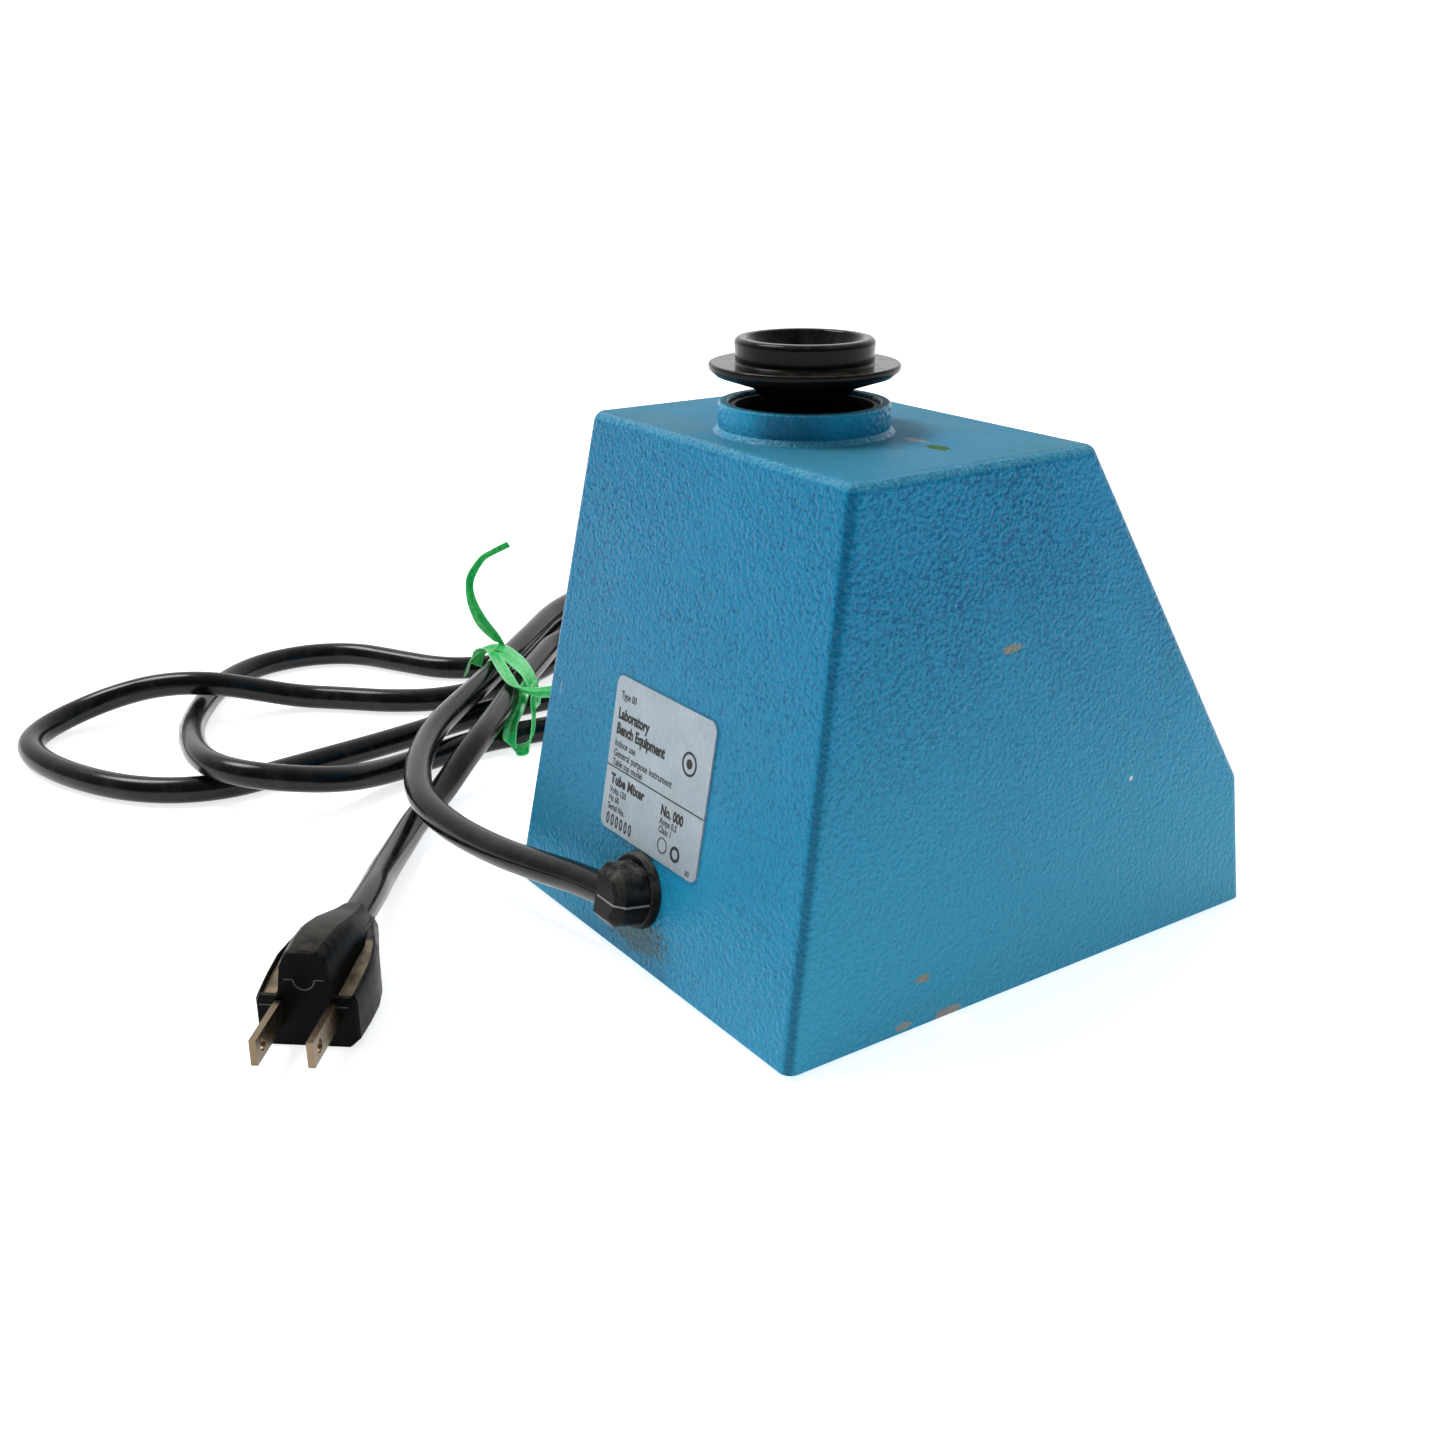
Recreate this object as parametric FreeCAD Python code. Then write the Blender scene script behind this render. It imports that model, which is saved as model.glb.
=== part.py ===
"""Bench vortex mixer with a tapered painted housing, a rubber cup head and a tied-up mains cord.

Units are millimetres.  +Z is up and z = 0 is the bench under the feet.  The origin is the middle of
the housing's footprint, the rear panel faces +Y, and the front slope with its controls faces -Y.
"""
import FreeCAD, Part

import math
import os

from FreeCAD import Placement, Rotation, Vector

X_AXIS = Vector(1, 0, 0)
Y_AXIS = Vector(0, 1, 0)
Z_AXIS = Vector(0, 0, 1)

# ---------------------------------------------------------------- driving dimensions
RIM_Z = 1.5                 # the feet hold the housing's rim this far above the bench
HOUSING_HEIGHT = 127.0
BASE_HALF_WIDTH = 62.1
TOP_HALF_WIDTH = 52.1
BASE_HALF_DEPTH = 76.4
REAR_TOP_Y = 54.4
FRONT_TOP_Y = -16.6
BEND_HEIGHT = 35.0          # lower front face, from the rim to the foot of the slope
BEND_Y = -72.9
WALL = 3.0
EDGE_ROUND = 3.0

DRIVE_Y = 27.0              # motor, collar and cup axis
THROW = 2.5                 # eccentric offset of the crank pin
THROW_ANGLE = -35.0         # degrees from +X at rest
RUNNING_GAP = 0.04          # radial clearance of shafts in their bearings

COLLAR_R = 20.3
COLLAR_FOOT_R = 21.5
COLLAR_HEIGHT = 7.0
COLLAR_BORE_R = 17.75
LINER_BORE_R = 16.3

PLATE_Z = 4.0
PLATE_THICK = 1.5
PLATE_HALF_X = 58.2
PLATE_HALF_Y = 72.0
PLATE_TOP = PLATE_Z + PLATE_THICK
BASE_SCREW_X = 53.2
BASE_SCREW_Y = 67.2
FOOT_X = 43.0
FOOT_Y = 57.0

STATOR_Z = 62.0
STATOR_HEIGHT = 22.0
STATOR_TOP = STATOR_Z + STATOR_HEIGHT
STATOR_HALF_X = 31.0
STATOR_Y = (-24.0, 52.0)
BOLT_X = 26.0
BOLT_Y = (10.0, 44.0)
ROTOR_R = 15.0
SHAFT_R = 4.0
SHAFT_Z = (34.0, 119.0)
LOWER_BRACKET_Z = 43.0
UPPER_BRACKET_Z = 100.0
BRACKET_THICK = 2.0

BUTTON_HEAD_R = 12.0
BUTTON_STEM_R = 4.0
BUTTON_Z = 30.0             # underside of the thrust button's head
GUIDE_TOP = 20.0
SPRING_R = 6.0
SPRING_WIRE = 1.0
SPRING_TURNS = 4
SPRING_SIDES = 8            # arcs in each turn

PIVOT_X = 31.0              # switch lever pivot
PIVOT_Z = 28.2
PIVOT_R = 0.7

SLOPE_ALONG = 34.0          # controls, measured up the slope from its foot
KNOB_X = 24.0
ROCKER_X = -30.0
KNOB_R = 14.0
KNOB_HEIGHT = 12.5
DIAL_R = 22.0
DIAL_THICK = 0.8

CUP_TOP = 149.8
CUP_FLANGE_R = 22.6

BOARD_Y = -56.0             # front edge of the circuit board
BOARD_Z = 13.0
BOARD_TOP = BOARD_Z + 1.6
TERMINAL_X = (-40, -32, -24)

LABEL_X = 2.0
LABEL_HEIGHT_Z = 49.1
LABEL_SIZE = (43.0, 39.5)
LABEL_THICK = 0.5

BUSHING_X = 3.0
BUSHING_Z = 19.7
BUSHING_FLANGE_R = 9.8
BUSHING_BODY_R = 8.0
CORD_STAND_OFF = 6.9        # cord centre line in front of the rear panel

CORD_D = 8.2
CORD_R = CORD_D / 2
MOUTH = Vector(5.0, 80.0, 19.7)

# Cord from the strain relief to the tied hank, then from the hank to the plug.
LEAD_IN_ROUTE = [
    MOUTH,
    Vector(17, 81, 18.8),
    Vector(33, 84.5, 17.0),
    Vector(53, 88, 15.0),
    Vector(76, 90, 14.0),
    Vector(98, 88.5, 14.1),
    Vector(119, 79.5, 14.1),
    Vector(136, 69, 13.6),
]
PLUG_LEAD_ROUTE = [
    Vector(133, 51, 13.4),
    Vector(125, 61, 10.6),
    Vector(116, 74, 4.9),
    Vector(105, 87, 4.1),
    Vector(90, 100, 4.2),
    Vector(72, 113, 6.5),
    Vector(54.5, 121.8, 11.4),
    Vector(42.1, 131.9, 12.0),
]

HANK_TOP = 17.8
# Outer shape of the tied hank in plan: corner x, corner y, corner radius.
HANK_OUTLINE = [
    (130, 64, 30),
    (124, 114, 22),
    (146, 136, 60),
    (172, 172, 40),
    (224, 180, 30),
    (262, 152, 30),
    (276, 100, 50),
    (284, 50, 30),
    (224, 10, 40),
    (252, -50, 60),
    (284, -92, 30),
    (270, -132, 30),
    (214, -142, 60),
    (156, -124, 50),
    (136, -60, 60),
    (143, 10, 60),
]
TIE_CENTRE = Vector(183, 6, 0)
TIE_DIRECTION = -80.0       # degrees from +X, along the bundle
TIE_HALF_LENGTH = 48.0
TIE_WIDTH = 5.0
TIE_THICK = 1.0

PLUG_FRONT = Vector(12.7, 156.0, 0.0)
PLUG_AZIMUTH = 140.7        # degrees from +X, the way the blades point
PLUG_LENGTH = 38.0
PLUG_CORD_Z = 12.0
BLADE_SPACING = 12.7


# ---------------------------------------------------------------- shape helpers
def box(x0, x1, y0, y1, z0, z1):
    """Return a box between two corners."""
    return Part.makeBox(x1 - x0, y1 - y0, z1 - z0, Vector(x0, y0, z0))


def disc(x, y, z0, z1, radius):
    """Return an upright cylinder."""
    return Part.makeCylinder(radius, z1 - z0, Vector(x, y, z0))


def tube(x, y, z0, z1, outer, bore):
    """Return an upright cylinder with a bore."""
    return disc(x, y, z0, z1, outer).cut(disc(x, y, z0, z1, bore))


def joined(first, *others):
    """Fuse overlapping shapes into one clean solid."""
    return first.fuse(list(others)).removeSplitter()


def group(solids):
    """Keep separate identical solids together as one shape."""
    return Part.makeCompound(solids)


def rounding_arc(before, corner, after, radius):
    """Return the start, middle and end of the arc that rounds one corner."""
    back = (before - corner).normalize()
    ahead = (after - corner).normalize()
    half_angle = back.getAngle(ahead) / 2
    reach = radius / math.tan(half_angle)
    middle = corner + (back + ahead).normalize() * (radius / math.sin(half_angle) - radius)
    return corner + back * reach, middle, corner + ahead * reach


def rounded_outline(corners):
    """Return a closed wire through (point, radius) corners; radius 0 keeps a corner sharp."""
    ends = []
    arcs = []
    count = len(corners)
    for i, (corner, radius) in enumerate(corners):
        if radius == 0:
            ends.append((corner, corner))
            continue
        start, middle, end = rounding_arc(corners[i - 1][0], corner, corners[(i + 1) % count][0], radius)
        arcs.append((i, Part.Arc(start, middle, end).toShape()))
        ends.append((start, end))
    edges = [arc for _, arc in arcs]
    for i in range(count):
        leave = ends[i][1]
        arrive = ends[(i + 1) % count][0]
        if leave.distanceToPoint(arrive) > 1e-6:
            edges.append(Part.LineSegment(leave, arrive).toShape())
    return Part.Wire(Part.__sortEdges__(edges))


def extruded(corners, direction):
    """Extrude a rounded outline."""
    return Part.Face(rounded_outline(corners)).extrude(direction)


def turned(profile, x=0.0, y=0.0):
    """Revolve (r, z, corner radius) points about a vertical axis at x, y."""
    corners = [(Vector(r, 0, z), radius) for r, z, radius in profile]
    solid = Part.Face(rounded_outline(corners)).revolve(Vector(0, 0, 0), Z_AXIS, 360)
    solid.translate(Vector(x, y, 0))
    return solid


def rounded_plate(half_x, half_y, corner_r, z0, thick):
    """Return a flat plate with rounded corners, centred on the Z axis."""
    corners = [
        (Vector(half_x, half_y, z0), corner_r),
        (Vector(-half_x, half_y, z0), corner_r),
        (Vector(-half_x, -half_y, z0), corner_r),
        (Vector(half_x, -half_y, z0), corner_r),
    ]
    return extruded(corners, Z_AXIS * thick)


def placed(shape, placement):
    """Move a shape that was modelled about its own origin to its place."""
    moved = shape.copy()
    moved.Placement = placement.multiply(moved.Placement)
    return moved


def run_of_wire(name, points, radius):
    """Sweep a round section along straight runs joined by the largest tangent arcs."""
    edges = []
    radii = []
    leave = points[0]
    for before, corner, after in zip(points, points[1:], points[2:]):
        shorter = min(corner.distanceToPoint(before), corner.distanceToPoint(after))
        half_turn = (corner - before).getAngle(after - corner) / 2
        bend = 0.45 * shorter / math.tan(half_turn)
        start, middle, end = rounding_arc(before, corner, after, bend)
        edges.append(Part.LineSegment(leave, start).toShape())
        edges.append(Part.Arc(start, middle, end).toShape())
        radii.append(bend)
        leave = end
    edges.append(Part.LineSegment(leave, points[-1]).toShape())
    path = Part.Wire(edges)
    section = Part.Wire([Part.makeCircle(radius, points[0], points[1] - points[0])])
    solid = path.makePipeShell([section], True, False)
    expected = math.pi * radius ** 2 * path.Length
    print(name, "length", round(path.Length, 1), "smallest radius", round(min(radii), 1),
          "volume ratio", round(solid.Volume / expected, 4))
    return solid


def polar(radius, degrees):
    """Return a horizontal vector of a given length and direction."""
    angle = math.radians(degrees)
    return Vector(radius * math.cos(angle), radius * math.sin(angle), 0)


# ---------------------------------------------------------------- housing geometry
def side_profile():
    """Return the housing's outline in the YZ plane, from the rear bottom corner."""
    top = RIM_Z + HOUSING_HEIGHT
    return [
        (BASE_HALF_DEPTH, RIM_Z),
        (REAR_TOP_Y, top),
        (FRONT_TOP_Y, top),
        (BEND_Y, RIM_Z + BEND_HEIGHT),
        (-BASE_HALF_DEPTH, RIM_Z),
    ]


def front_profile():
    """Return the housing's outline in the XZ plane."""
    top = RIM_Z + HOUSING_HEIGHT
    return [(BASE_HALF_WIDTH, RIM_Z), (TOP_HALF_WIDTH, top), (-TOP_HALF_WIDTH, top), (-BASE_HALF_WIDTH, RIM_Z)]


def inset(outline, distance):
    """Move every side of a convex anticlockwise outline inwards."""
    lines = []
    for (x0, y0), (x1, y1) in zip(outline, outline[1:] + outline[:1]):
        length = math.hypot(x1 - x0, y1 - y0)
        normal = (-(y1 - y0) / length, (x1 - x0) / length)
        lines.append((normal, normal[0] * x0 + normal[1] * y0 + distance))
    moved = []
    for (n0, c0), (n1, c1) in zip(lines[-1:] + lines[:-1], lines):
        det = n0[0] * n1[1] - n0[1] * n1[0]
        moved.append(((c0 * n1[1] - c1 * n0[1]) / det, (n0[0] * c1 - n1[0] * c0) / det))
    return moved


def tapered_block(distance):
    """Return the housing's solid block with every face moved inwards by a distance."""
    reach = 2 * BASE_HALF_DEPTH
    side = [(Vector(-reach, y, z), 0) for y, z in inset(side_profile(), distance)]
    front = [(Vector(x, -reach, z), 0) for x, z in inset(front_profile(), distance)]
    return extruded(side, X_AXIS * (2 * reach)).common(extruded(front, Y_AXIS * (2 * reach)))


def slope_placement(x):
    """Place local Z along the front slope's outward normal, at the controls' height."""
    rise = HOUSING_HEIGHT - BEND_HEIGHT
    tilt = math.atan2(rise, FRONT_TOP_Y - BEND_Y)
    y = BEND_Y + SLOPE_ALONG * math.cos(tilt)
    z = RIM_Z + BEND_HEIGHT + SLOPE_ALONG * math.sin(tilt)
    return Placement(Vector(x, y, z), Rotation(X_AXIS, math.degrees(tilt)))


def rear_placement(x, z):
    """Place local Z along the rear panel's outward normal, with local X towards -X."""
    lean = math.atan2(BASE_HALF_DEPTH - REAR_TOP_Y, HOUSING_HEIGHT)
    y = BASE_HALF_DEPTH - (z - RIM_Z) * math.tan(lean)
    turn = Rotation(Z_AXIS, 180).multiply(Rotation(X_AXIS, 90 - math.degrees(lean)))
    return Placement(Vector(x, y, z), turn)


# ---------------------------------------------------------------- housing and its fittings
def housing():
    """Return the cast shell with its screw bosses and panel holes."""
    outer = tapered_block(0)
    rounded = [edge for edge in outer.Edges if edge.BoundBox.ZMax > RIM_Z + 0.1]
    outer = outer.makeFillet(EDGE_ROUND, rounded)
    inner = tapered_block(WALL)
    mouth = rounded_plate(BASE_HALF_WIDTH - WALL, BASE_HALF_DEPTH - WALL, EDGE_ROUND, RIM_Z - 1, WALL + 1.1)
    shell = outer.cut(inner).cut(mouth)
    top = RIM_Z + HOUSING_HEIGHT
    bosses = [disc(sx * BASE_SCREW_X, sy * BASE_SCREW_Y, PLATE_TOP, 24, 5.8) for sx in (-1, 1) for sy in (-1, 1)]
    bosses = [boss.common(tapered_block(0.5)) for boss in bosses]
    shell = joined(shell.cut(disc(0, DRIVE_Y, top - 5, top + 5, COLLAR_FOOT_R)), *bosses)
    for sx in (-1, 1):
        for sy in (-1, 1):
            shell = shell.cut(disc(sx * BASE_SCREW_X, sy * BASE_SCREW_Y, PLATE_TOP, 18, 2.0))
    shell = shell.cut(placed(disc(0, 0, -WALL - 2, 2, BUSHING_BODY_R), rear_placement(BUSHING_X, BUSHING_Z)))
    shell = shell.cut(placed(disc(0, 0, -WALL - 2, 2, 4.5), slope_placement(KNOB_X)))
    return shell.cut(placed(box(-7, 7, -12, 12, -WALL - 2, 2), slope_placement(ROCKER_X)))


def collar():
    """Return the ring that stands in the hole in the shell's top."""
    top = RIM_Z + HOUSING_HEIGHT
    return turned([
        (COLLAR_BORE_R, top - WALL, 0),
        (COLLAR_FOOT_R, top - WALL, 0),
        (COLLAR_FOOT_R, top, 0),
        (COLLAR_R, top + COLLAR_FOOT_R - COLLAR_R, 0),
        (COLLAR_R, top + COLLAR_HEIGHT, 0.8),
        (COLLAR_BORE_R, top + COLLAR_HEIGHT, 0.8),
    ], 0, DRIVE_Y)


def collar_liner():
    """Return the dark plastic sleeve inside the collar."""
    top = RIM_Z + HOUSING_HEIGHT
    return tube(0, DRIVE_Y, top - WALL - 2, top + COLLAR_HEIGHT - 1.0, COLLAR_BORE_R, LINER_BORE_R)


def nameplate():
    """Return the rating label plate on the rear panel."""
    plate = rounded_plate(LABEL_SIZE[0] / 2, LABEL_SIZE[1] / 2, 2.5, 0, LABEL_THICK)
    return placed(plate, rear_placement(LABEL_X, LABEL_HEIGHT_Z))


def base_plate():
    """Return the bottom plate with its vent slots and holes."""
    plate = rounded_plate(PLATE_HALF_X, PLATE_HALF_Y, 5, PLATE_Z, PLATE_THICK)
    holes = [disc(sx * BASE_SCREW_X, sy * BASE_SCREW_Y, 0, 10, 2.0) for sx in (-1, 1) for sy in (-1, 1)]
    holes += [disc(sx * FOOT_X, sy * FOOT_Y, 0, 10, 3.0) for sx in (-1, 1) for sy in (-1, 1)]
    holes += [disc(sx * BOLT_X, y, 0, 10, 2.0) for sx in (-1, 1) for y in BOLT_Y]
    holes += [box(-14 + 7 * i, -11 + 7 * i, -50, -20, 0, 10) for i in range(5)]
    return plate.cut(holes)


def rubber_foot(x, y):
    """Return one push-in rubber foot."""
    return turned([
        (0, 0, 0), (7.2, 0, 0.8), (8, PLATE_Z, 0), (3, PLATE_Z, 0), (3, PLATE_TOP, 0),
        (4.2, PLATE_TOP, 0), (2.4, PLATE_TOP + 3, 0.6), (0, PLATE_TOP + 3, 0),
    ], x, y)


def pan_screw(x, y, head_z, length):
    """Return a pan-head screw pointing up, with its head below head_z."""
    head = turned([(0, head_z - 2, 0), (3.4, head_z - 2, 1.0), (3.6, head_z, 0), (0, head_z, 0)], x, y)
    recess = box(x - 2.2, x + 2.2, y - 0.5, y + 0.5, head_z - 3, head_z - 1.1)
    return joined(head, disc(x, y, head_z, head_z + length, 2.0)).cut(recess)


def base_screws():
    """Return the four screws that hold the bottom plate."""
    return group([pan_screw(sx * BASE_SCREW_X, sy * BASE_SCREW_Y, PLATE_Z, 12) for sx in (-1, 1) for sy in (-1, 1)])


# ---------------------------------------------------------------- motor
def bolt_places():
    """Return the motor's four bolt positions."""
    return [(sx * BOLT_X, y) for sx in (-1, 1) for y in BOLT_Y]


def motor_standoffs():
    """Return the pillars that carry the motor on the bottom plate."""
    return group([tube(x, y, PLATE_TOP, 37, 5, 2) for x, y in bolt_places()])


def standoff_screws():
    """Return the screws that hold the pillars from below."""
    return group([pan_screw(x, y, PLATE_Z, 12) for x, y in bolt_places()])


def motor_grommets():
    """Return the rubber rings between the pillars and the motor."""
    return group([tube(x, y, 37, LOWER_BRACKET_Z, 6, 2) for x, y in bolt_places()])


def motor_spacers(z0, z1):
    """Return the spacer tubes between a bracket and the stator."""
    return group([tube(x, y, z0, z1, 3.6, 2) for x, y in bolt_places()])


def motor_bolts():
    """Return the four long bolts through brackets, stator and grommets."""
    top = UPPER_BRACKET_Z + BRACKET_THICK
    return group([joined(disc(x, y, 26, top, 2), disc(x, y, top, top + 3, 3.6)) for x, y in bolt_places()])


def bearing_bracket(z):
    """Return one flat motor bracket with its bearing hole."""
    bracket = extruded([
        (Vector(-STATOR_HALF_X, 4, z), 5), (Vector(STATOR_HALF_X, 4, z), 5),
        (Vector(STATOR_HALF_X, 50, z), 5), (Vector(-STATOR_HALF_X, 50, z), 5),
    ], Z_AXIS * BRACKET_THICK)
    holes = [disc(x, y, z - 1, z + 4, 2) for x, y in bolt_places()]
    windows = [box(x - 4, x + 4, DRIVE_Y - 9, DRIVE_Y + 9, z - 1, z + 4) for x in (-17, 17)]
    return bracket.cut([disc(0, DRIVE_Y, z - 1, z + 4, 6.5)] + holes + windows)


def sleeve_bearing(z0, z1, bracket_z):
    """Return a bronze sleeve bearing, flanged under its bracket."""
    sleeve = disc(0, DRIVE_Y, z0, z1, 6.5)
    flange = disc(0, DRIVE_Y, bracket_z - 1.5, bracket_z, 8)
    return joined(sleeve, flange).cut(disc(0, DRIVE_Y, z0 - 1, z1 + 1, SHAFT_R + RUNNING_GAP))


def stator_core():
    """Return the laminated iron stack with its rotor hole and coil window."""
    y0, y1 = STATOR_Y
    stack = extruded([
        (Vector(-STATOR_HALF_X, y0, STATOR_Z), 3), (Vector(STATOR_HALF_X, y0, STATOR_Z), 3),
        (Vector(STATOR_HALF_X, y1, STATOR_Z), 6), (Vector(-STATOR_HALF_X, y1, STATOR_Z), 6),
    ], Z_AXIS * STATOR_HEIGHT)
    window = box(-19, 19, y0 + 12, 3, STATOR_Z, STATOR_TOP)
    holes = [disc(x, y, STATOR_Z, STATOR_TOP, 2) for x, y in bolt_places()]
    return stack.cut([window, disc(0, DRIVE_Y, STATOR_Z, STATOR_TOP, ROTOR_R + 0.5)] + holes)


def bobbin_solids():
    """Return the plastic bobbin round the core's end bar and the winding on it."""
    y0 = STATOR_Y[0]
    y1 = y0 + 12
    core = box(-20, 20, y0, y1, STATOR_Z, STATOR_TOP)
    sleeve = box(-19, 19, y0 - 1, y1 + 1, STATOR_Z - 1, STATOR_TOP + 1)
    cheeks = [box(x, x + 1, y0 - 8, y1 + 9, STATOR_Z - 9, STATOR_TOP + 9) for x in (-19, 18)]
    bobbin = joined(sleeve, *cheeks).cut(core)
    winding = box(-18, 18, y0 - 7, y1 + 8, STATOR_Z - 8, STATOR_TOP + 8)
    winding = winding.makeFillet(4, [edge for edge in winding.Edges if edge.Length > 35 and
                                     abs(edge.tangentAt(0).x) > 0.9])
    return bobbin, winding.cut(sleeve)


def rotor_core():
    """Return the squirrel-cage rotor on the shaft."""
    return tube(0, DRIVE_Y, STATOR_Z, STATOR_TOP, ROTOR_R, SHAFT_R)


def motor_shaft():
    """Return the steel shaft."""
    shaft = disc(0, DRIVE_Y, SHAFT_Z[0], SHAFT_Z[1], SHAFT_R)
    return shaft.makeChamfer(0.6, [edge for edge in shaft.Edges if edge.Length > 20 and edge.BoundBox.ZLength < 1])


def cooling_fan():
    """Return the fan under the rotor."""
    z0 = 52.0
    hub = tube(0, DRIVE_Y, z0, z0 + 9, 7.5, SHAFT_R)
    backing = tube(0, DRIVE_Y, z0 + 7, z0 + 8, 21, 7)
    blades = []
    for i in range(8):
        blade = box(6.5, 21, -0.6, 0.6, z0, z0 + 7.5)
        blade.rotate(Vector(0, 0, 0), Z_AXIS, 45 * i)
        blade.translate(Vector(0, DRIVE_Y, 0))
        blades.append(blade)
    return joined(hub, backing, *blades).cut(disc(0, DRIVE_Y, z0, z0 + 9, SHAFT_R))


# ---------------------------------------------------------------- eccentric drive and cup
def pin_centre():
    """Return the crank pin's position, level with the bench."""
    return Vector(0, DRIVE_Y, 0) + polar(THROW, THROW_ANGLE)


def eccentric_hub():
    """Return the hub clamped on the shaft's upper end."""
    pin = pin_centre()
    hub = disc(0, DRIVE_Y, 109, 121, 9)
    return hub.cut([disc(0, DRIVE_Y, 108, SHAFT_Z[1], SHAFT_R), disc(pin.x, pin.y, SHAFT_Z[1], 122, 3)])


def counterweight():
    """Return the half disc that balances the cup's orbit."""
    ring = tube(0, DRIVE_Y, 109, 117, 15.5, 9)
    keep = box(-20, 0, -20, 20, 108, 118)
    keep.rotate(Vector(0, 0, 0), Z_AXIS, THROW_ANGLE)
    keep.translate(Vector(0, DRIVE_Y, 0))
    return ring.common(keep)


def crank_pin():
    """Return the offset pin that carries the cup."""
    pin = pin_centre()
    return disc(pin.x, pin.y, SHAFT_Z[1], 138.5, 3)


def crank_bearing():
    """Return the bearing that lets the cup stay still while the pin goes round."""
    pin = pin_centre()
    return tube(pin.x, pin.y, 126, 138, 7, 3 + RUNNING_GAP)


def cup_core():
    """Return the hard insert moulded into the cup head, which holds the bearing."""
    pin = pin_centre()
    return turned([
        (7, 126, 0), (9, 126, 0), (9, 140, 0), (0, 140, 0), (0, 138.6, 0), (7, 138.6, 0),
    ], pin.x, pin.y)


def cup_head():
    """Return the rubber cup with its bowl, its flange and its neck round the insert."""
    pin = pin_centre()
    return turned([
        (0, 140, 0), (9, 140, 0), (9, 126, 0), (10.6, 126, 0.5), (10.6, 136.5, 0.6), (12.4, 138.4, 1),
        (21.0, 141.2, 1), (CUP_FLANGE_R, 142.6, 0.8), (CUP_FLANGE_R, 144.0, 0.6), (16.3, 144.0, 0.5),
        (16.6, CUP_TOP, 1.3), (13.8, CUP_TOP, 0.9), (8.5, 142.2, 2), (0, 142.2, 0),
    ], pin.x, pin.y)


# ---------------------------------------------------------------- press switch
def thrust_button():
    """Return the sliding button that carries the shaft's lower end."""
    return joined(disc(0, DRIVE_Y, BUTTON_Z, SHAFT_Z[0], BUTTON_HEAD_R),
                  disc(0, DRIVE_Y, GUIDE_TOP - 9, BUTTON_Z, BUTTON_STEM_R))


def thrust_guide():
    """Return the guide that the thrust button slides in."""
    body = joined(disc(0, DRIVE_Y, PLATE_TOP, GUIDE_TOP, 9), disc(0, DRIVE_Y, PLATE_TOP, PLATE_TOP + 2, 13))
    return body.cut(disc(0, DRIVE_Y, PLATE_TOP + 2, GUIDE_TOP + 1, BUTTON_STEM_R + RUNNING_GAP))


def press_spring():
    """Return the coil spring that lifts the button."""
    half_wire = SPRING_WIRE / 2
    height = BUTTON_Z - GUIDE_TOP - SPRING_WIRE
    corner_r = SPRING_R / math.cos(math.pi / SPRING_SIDES)
    count = SPRING_SIDES * SPRING_TURNS
    points = [polar(corner_r, 360 * i / SPRING_SIDES) + Z_AXIS * (height * i / count) for i in range(count + 1)]
    spring = run_of_wire("press_spring", points, half_wire)
    spring.translate(Vector(0, DRIVE_Y, GUIDE_TOP + half_wire))
    return spring


def touch_switch():
    """Return the small switch body with ears and a pivot pin for its lever."""
    body = box(14, 34, 22, 32, 12, 26)
    ears = [box(28.5, 33.5, y, y + 1.8, 25, 30) for y in (22, 30.2)]
    pin = Part.makeCylinder(PIVOT_R, 10, Vector(PIVOT_X, 22, PIVOT_Z), Y_AXIS)
    return joined(body, *ears, pin)


def switch_lever():
    """Return the lever that the thrust button presses."""
    bar = box(8.5, PIVOT_X, 24, 30, 28.9, 29.7)
    barrel = Part.makeCylinder(1.5, 6, Vector(PIVOT_X, 24, PIVOT_Z), Y_AXIS)
    hole = Part.makeCylinder(PIVOT_R + 0.05, 8, Vector(PIVOT_X, 23, PIVOT_Z), Y_AXIS)
    return joined(bar, barrel).cut(hole)


def switch_bracket():
    """Return the bent bracket that holds the switch."""
    return joined(box(14, 34, 32, 33.2, PLATE_TOP, 26), box(14, 34, 32, 38.5, PLATE_TOP, PLATE_TOP + 1.2))


# ---------------------------------------------------------------- controls
def dial_plate():
    """Return the round scale plate behind the speed knob."""
    return placed(disc(0, 0, 0, DIAL_THICK, DIAL_R).cut(disc(0, 0, 0, 2, 4.5)), slope_placement(KNOB_X))


def speed_pot():
    """Return the speed control's body and threaded bushing."""
    body = joined(disc(0, 0, -WALL - 12, -WALL, 12), disc(0, 0, -WALL, 4, 4.5))
    return placed(body.cut(disc(0, 0, -WALL - 10, 5, 3 + RUNNING_GAP)), slope_placement(KNOB_X))


def pot_nut():
    """Return the hexagon nut that clamps the speed control."""
    corners = [(polar(6.6, 60 * i) + Z_AXIS * DIAL_THICK, 0) for i in range(6)]
    return placed(extruded(corners, Z_AXIS * 2.2).cut(disc(0, 0, 0, 4, 4.5)), slope_placement(KNOB_X))


def pot_shaft():
    """Return the speed control's turning shaft."""
    return placed(disc(0, 0, -WALL - 9, 11, 3), slope_placement(KNOB_X))


def speed_knob():
    """Return the speed knob, hollow over the nut, with a pointer rib."""
    foot = 1.3
    knob = turned([
        (0, foot, 0), (KNOB_R, foot, 0.4), (KNOB_R - 1.5, foot + KNOB_HEIGHT, 1.2), (0, foot + KNOB_HEIGHT, 0),
    ])
    rib = box(-1, 1, 3, KNOB_R - 2.2, foot + KNOB_HEIGHT - 1, foot + KNOB_HEIGHT + 0.6)
    knob = joined(knob, rib).cut([disc(0, 0, 0, 5, 8.5), disc(0, 0, 0, 11, 3)])
    return placed(knob, slope_placement(KNOB_X))


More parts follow.
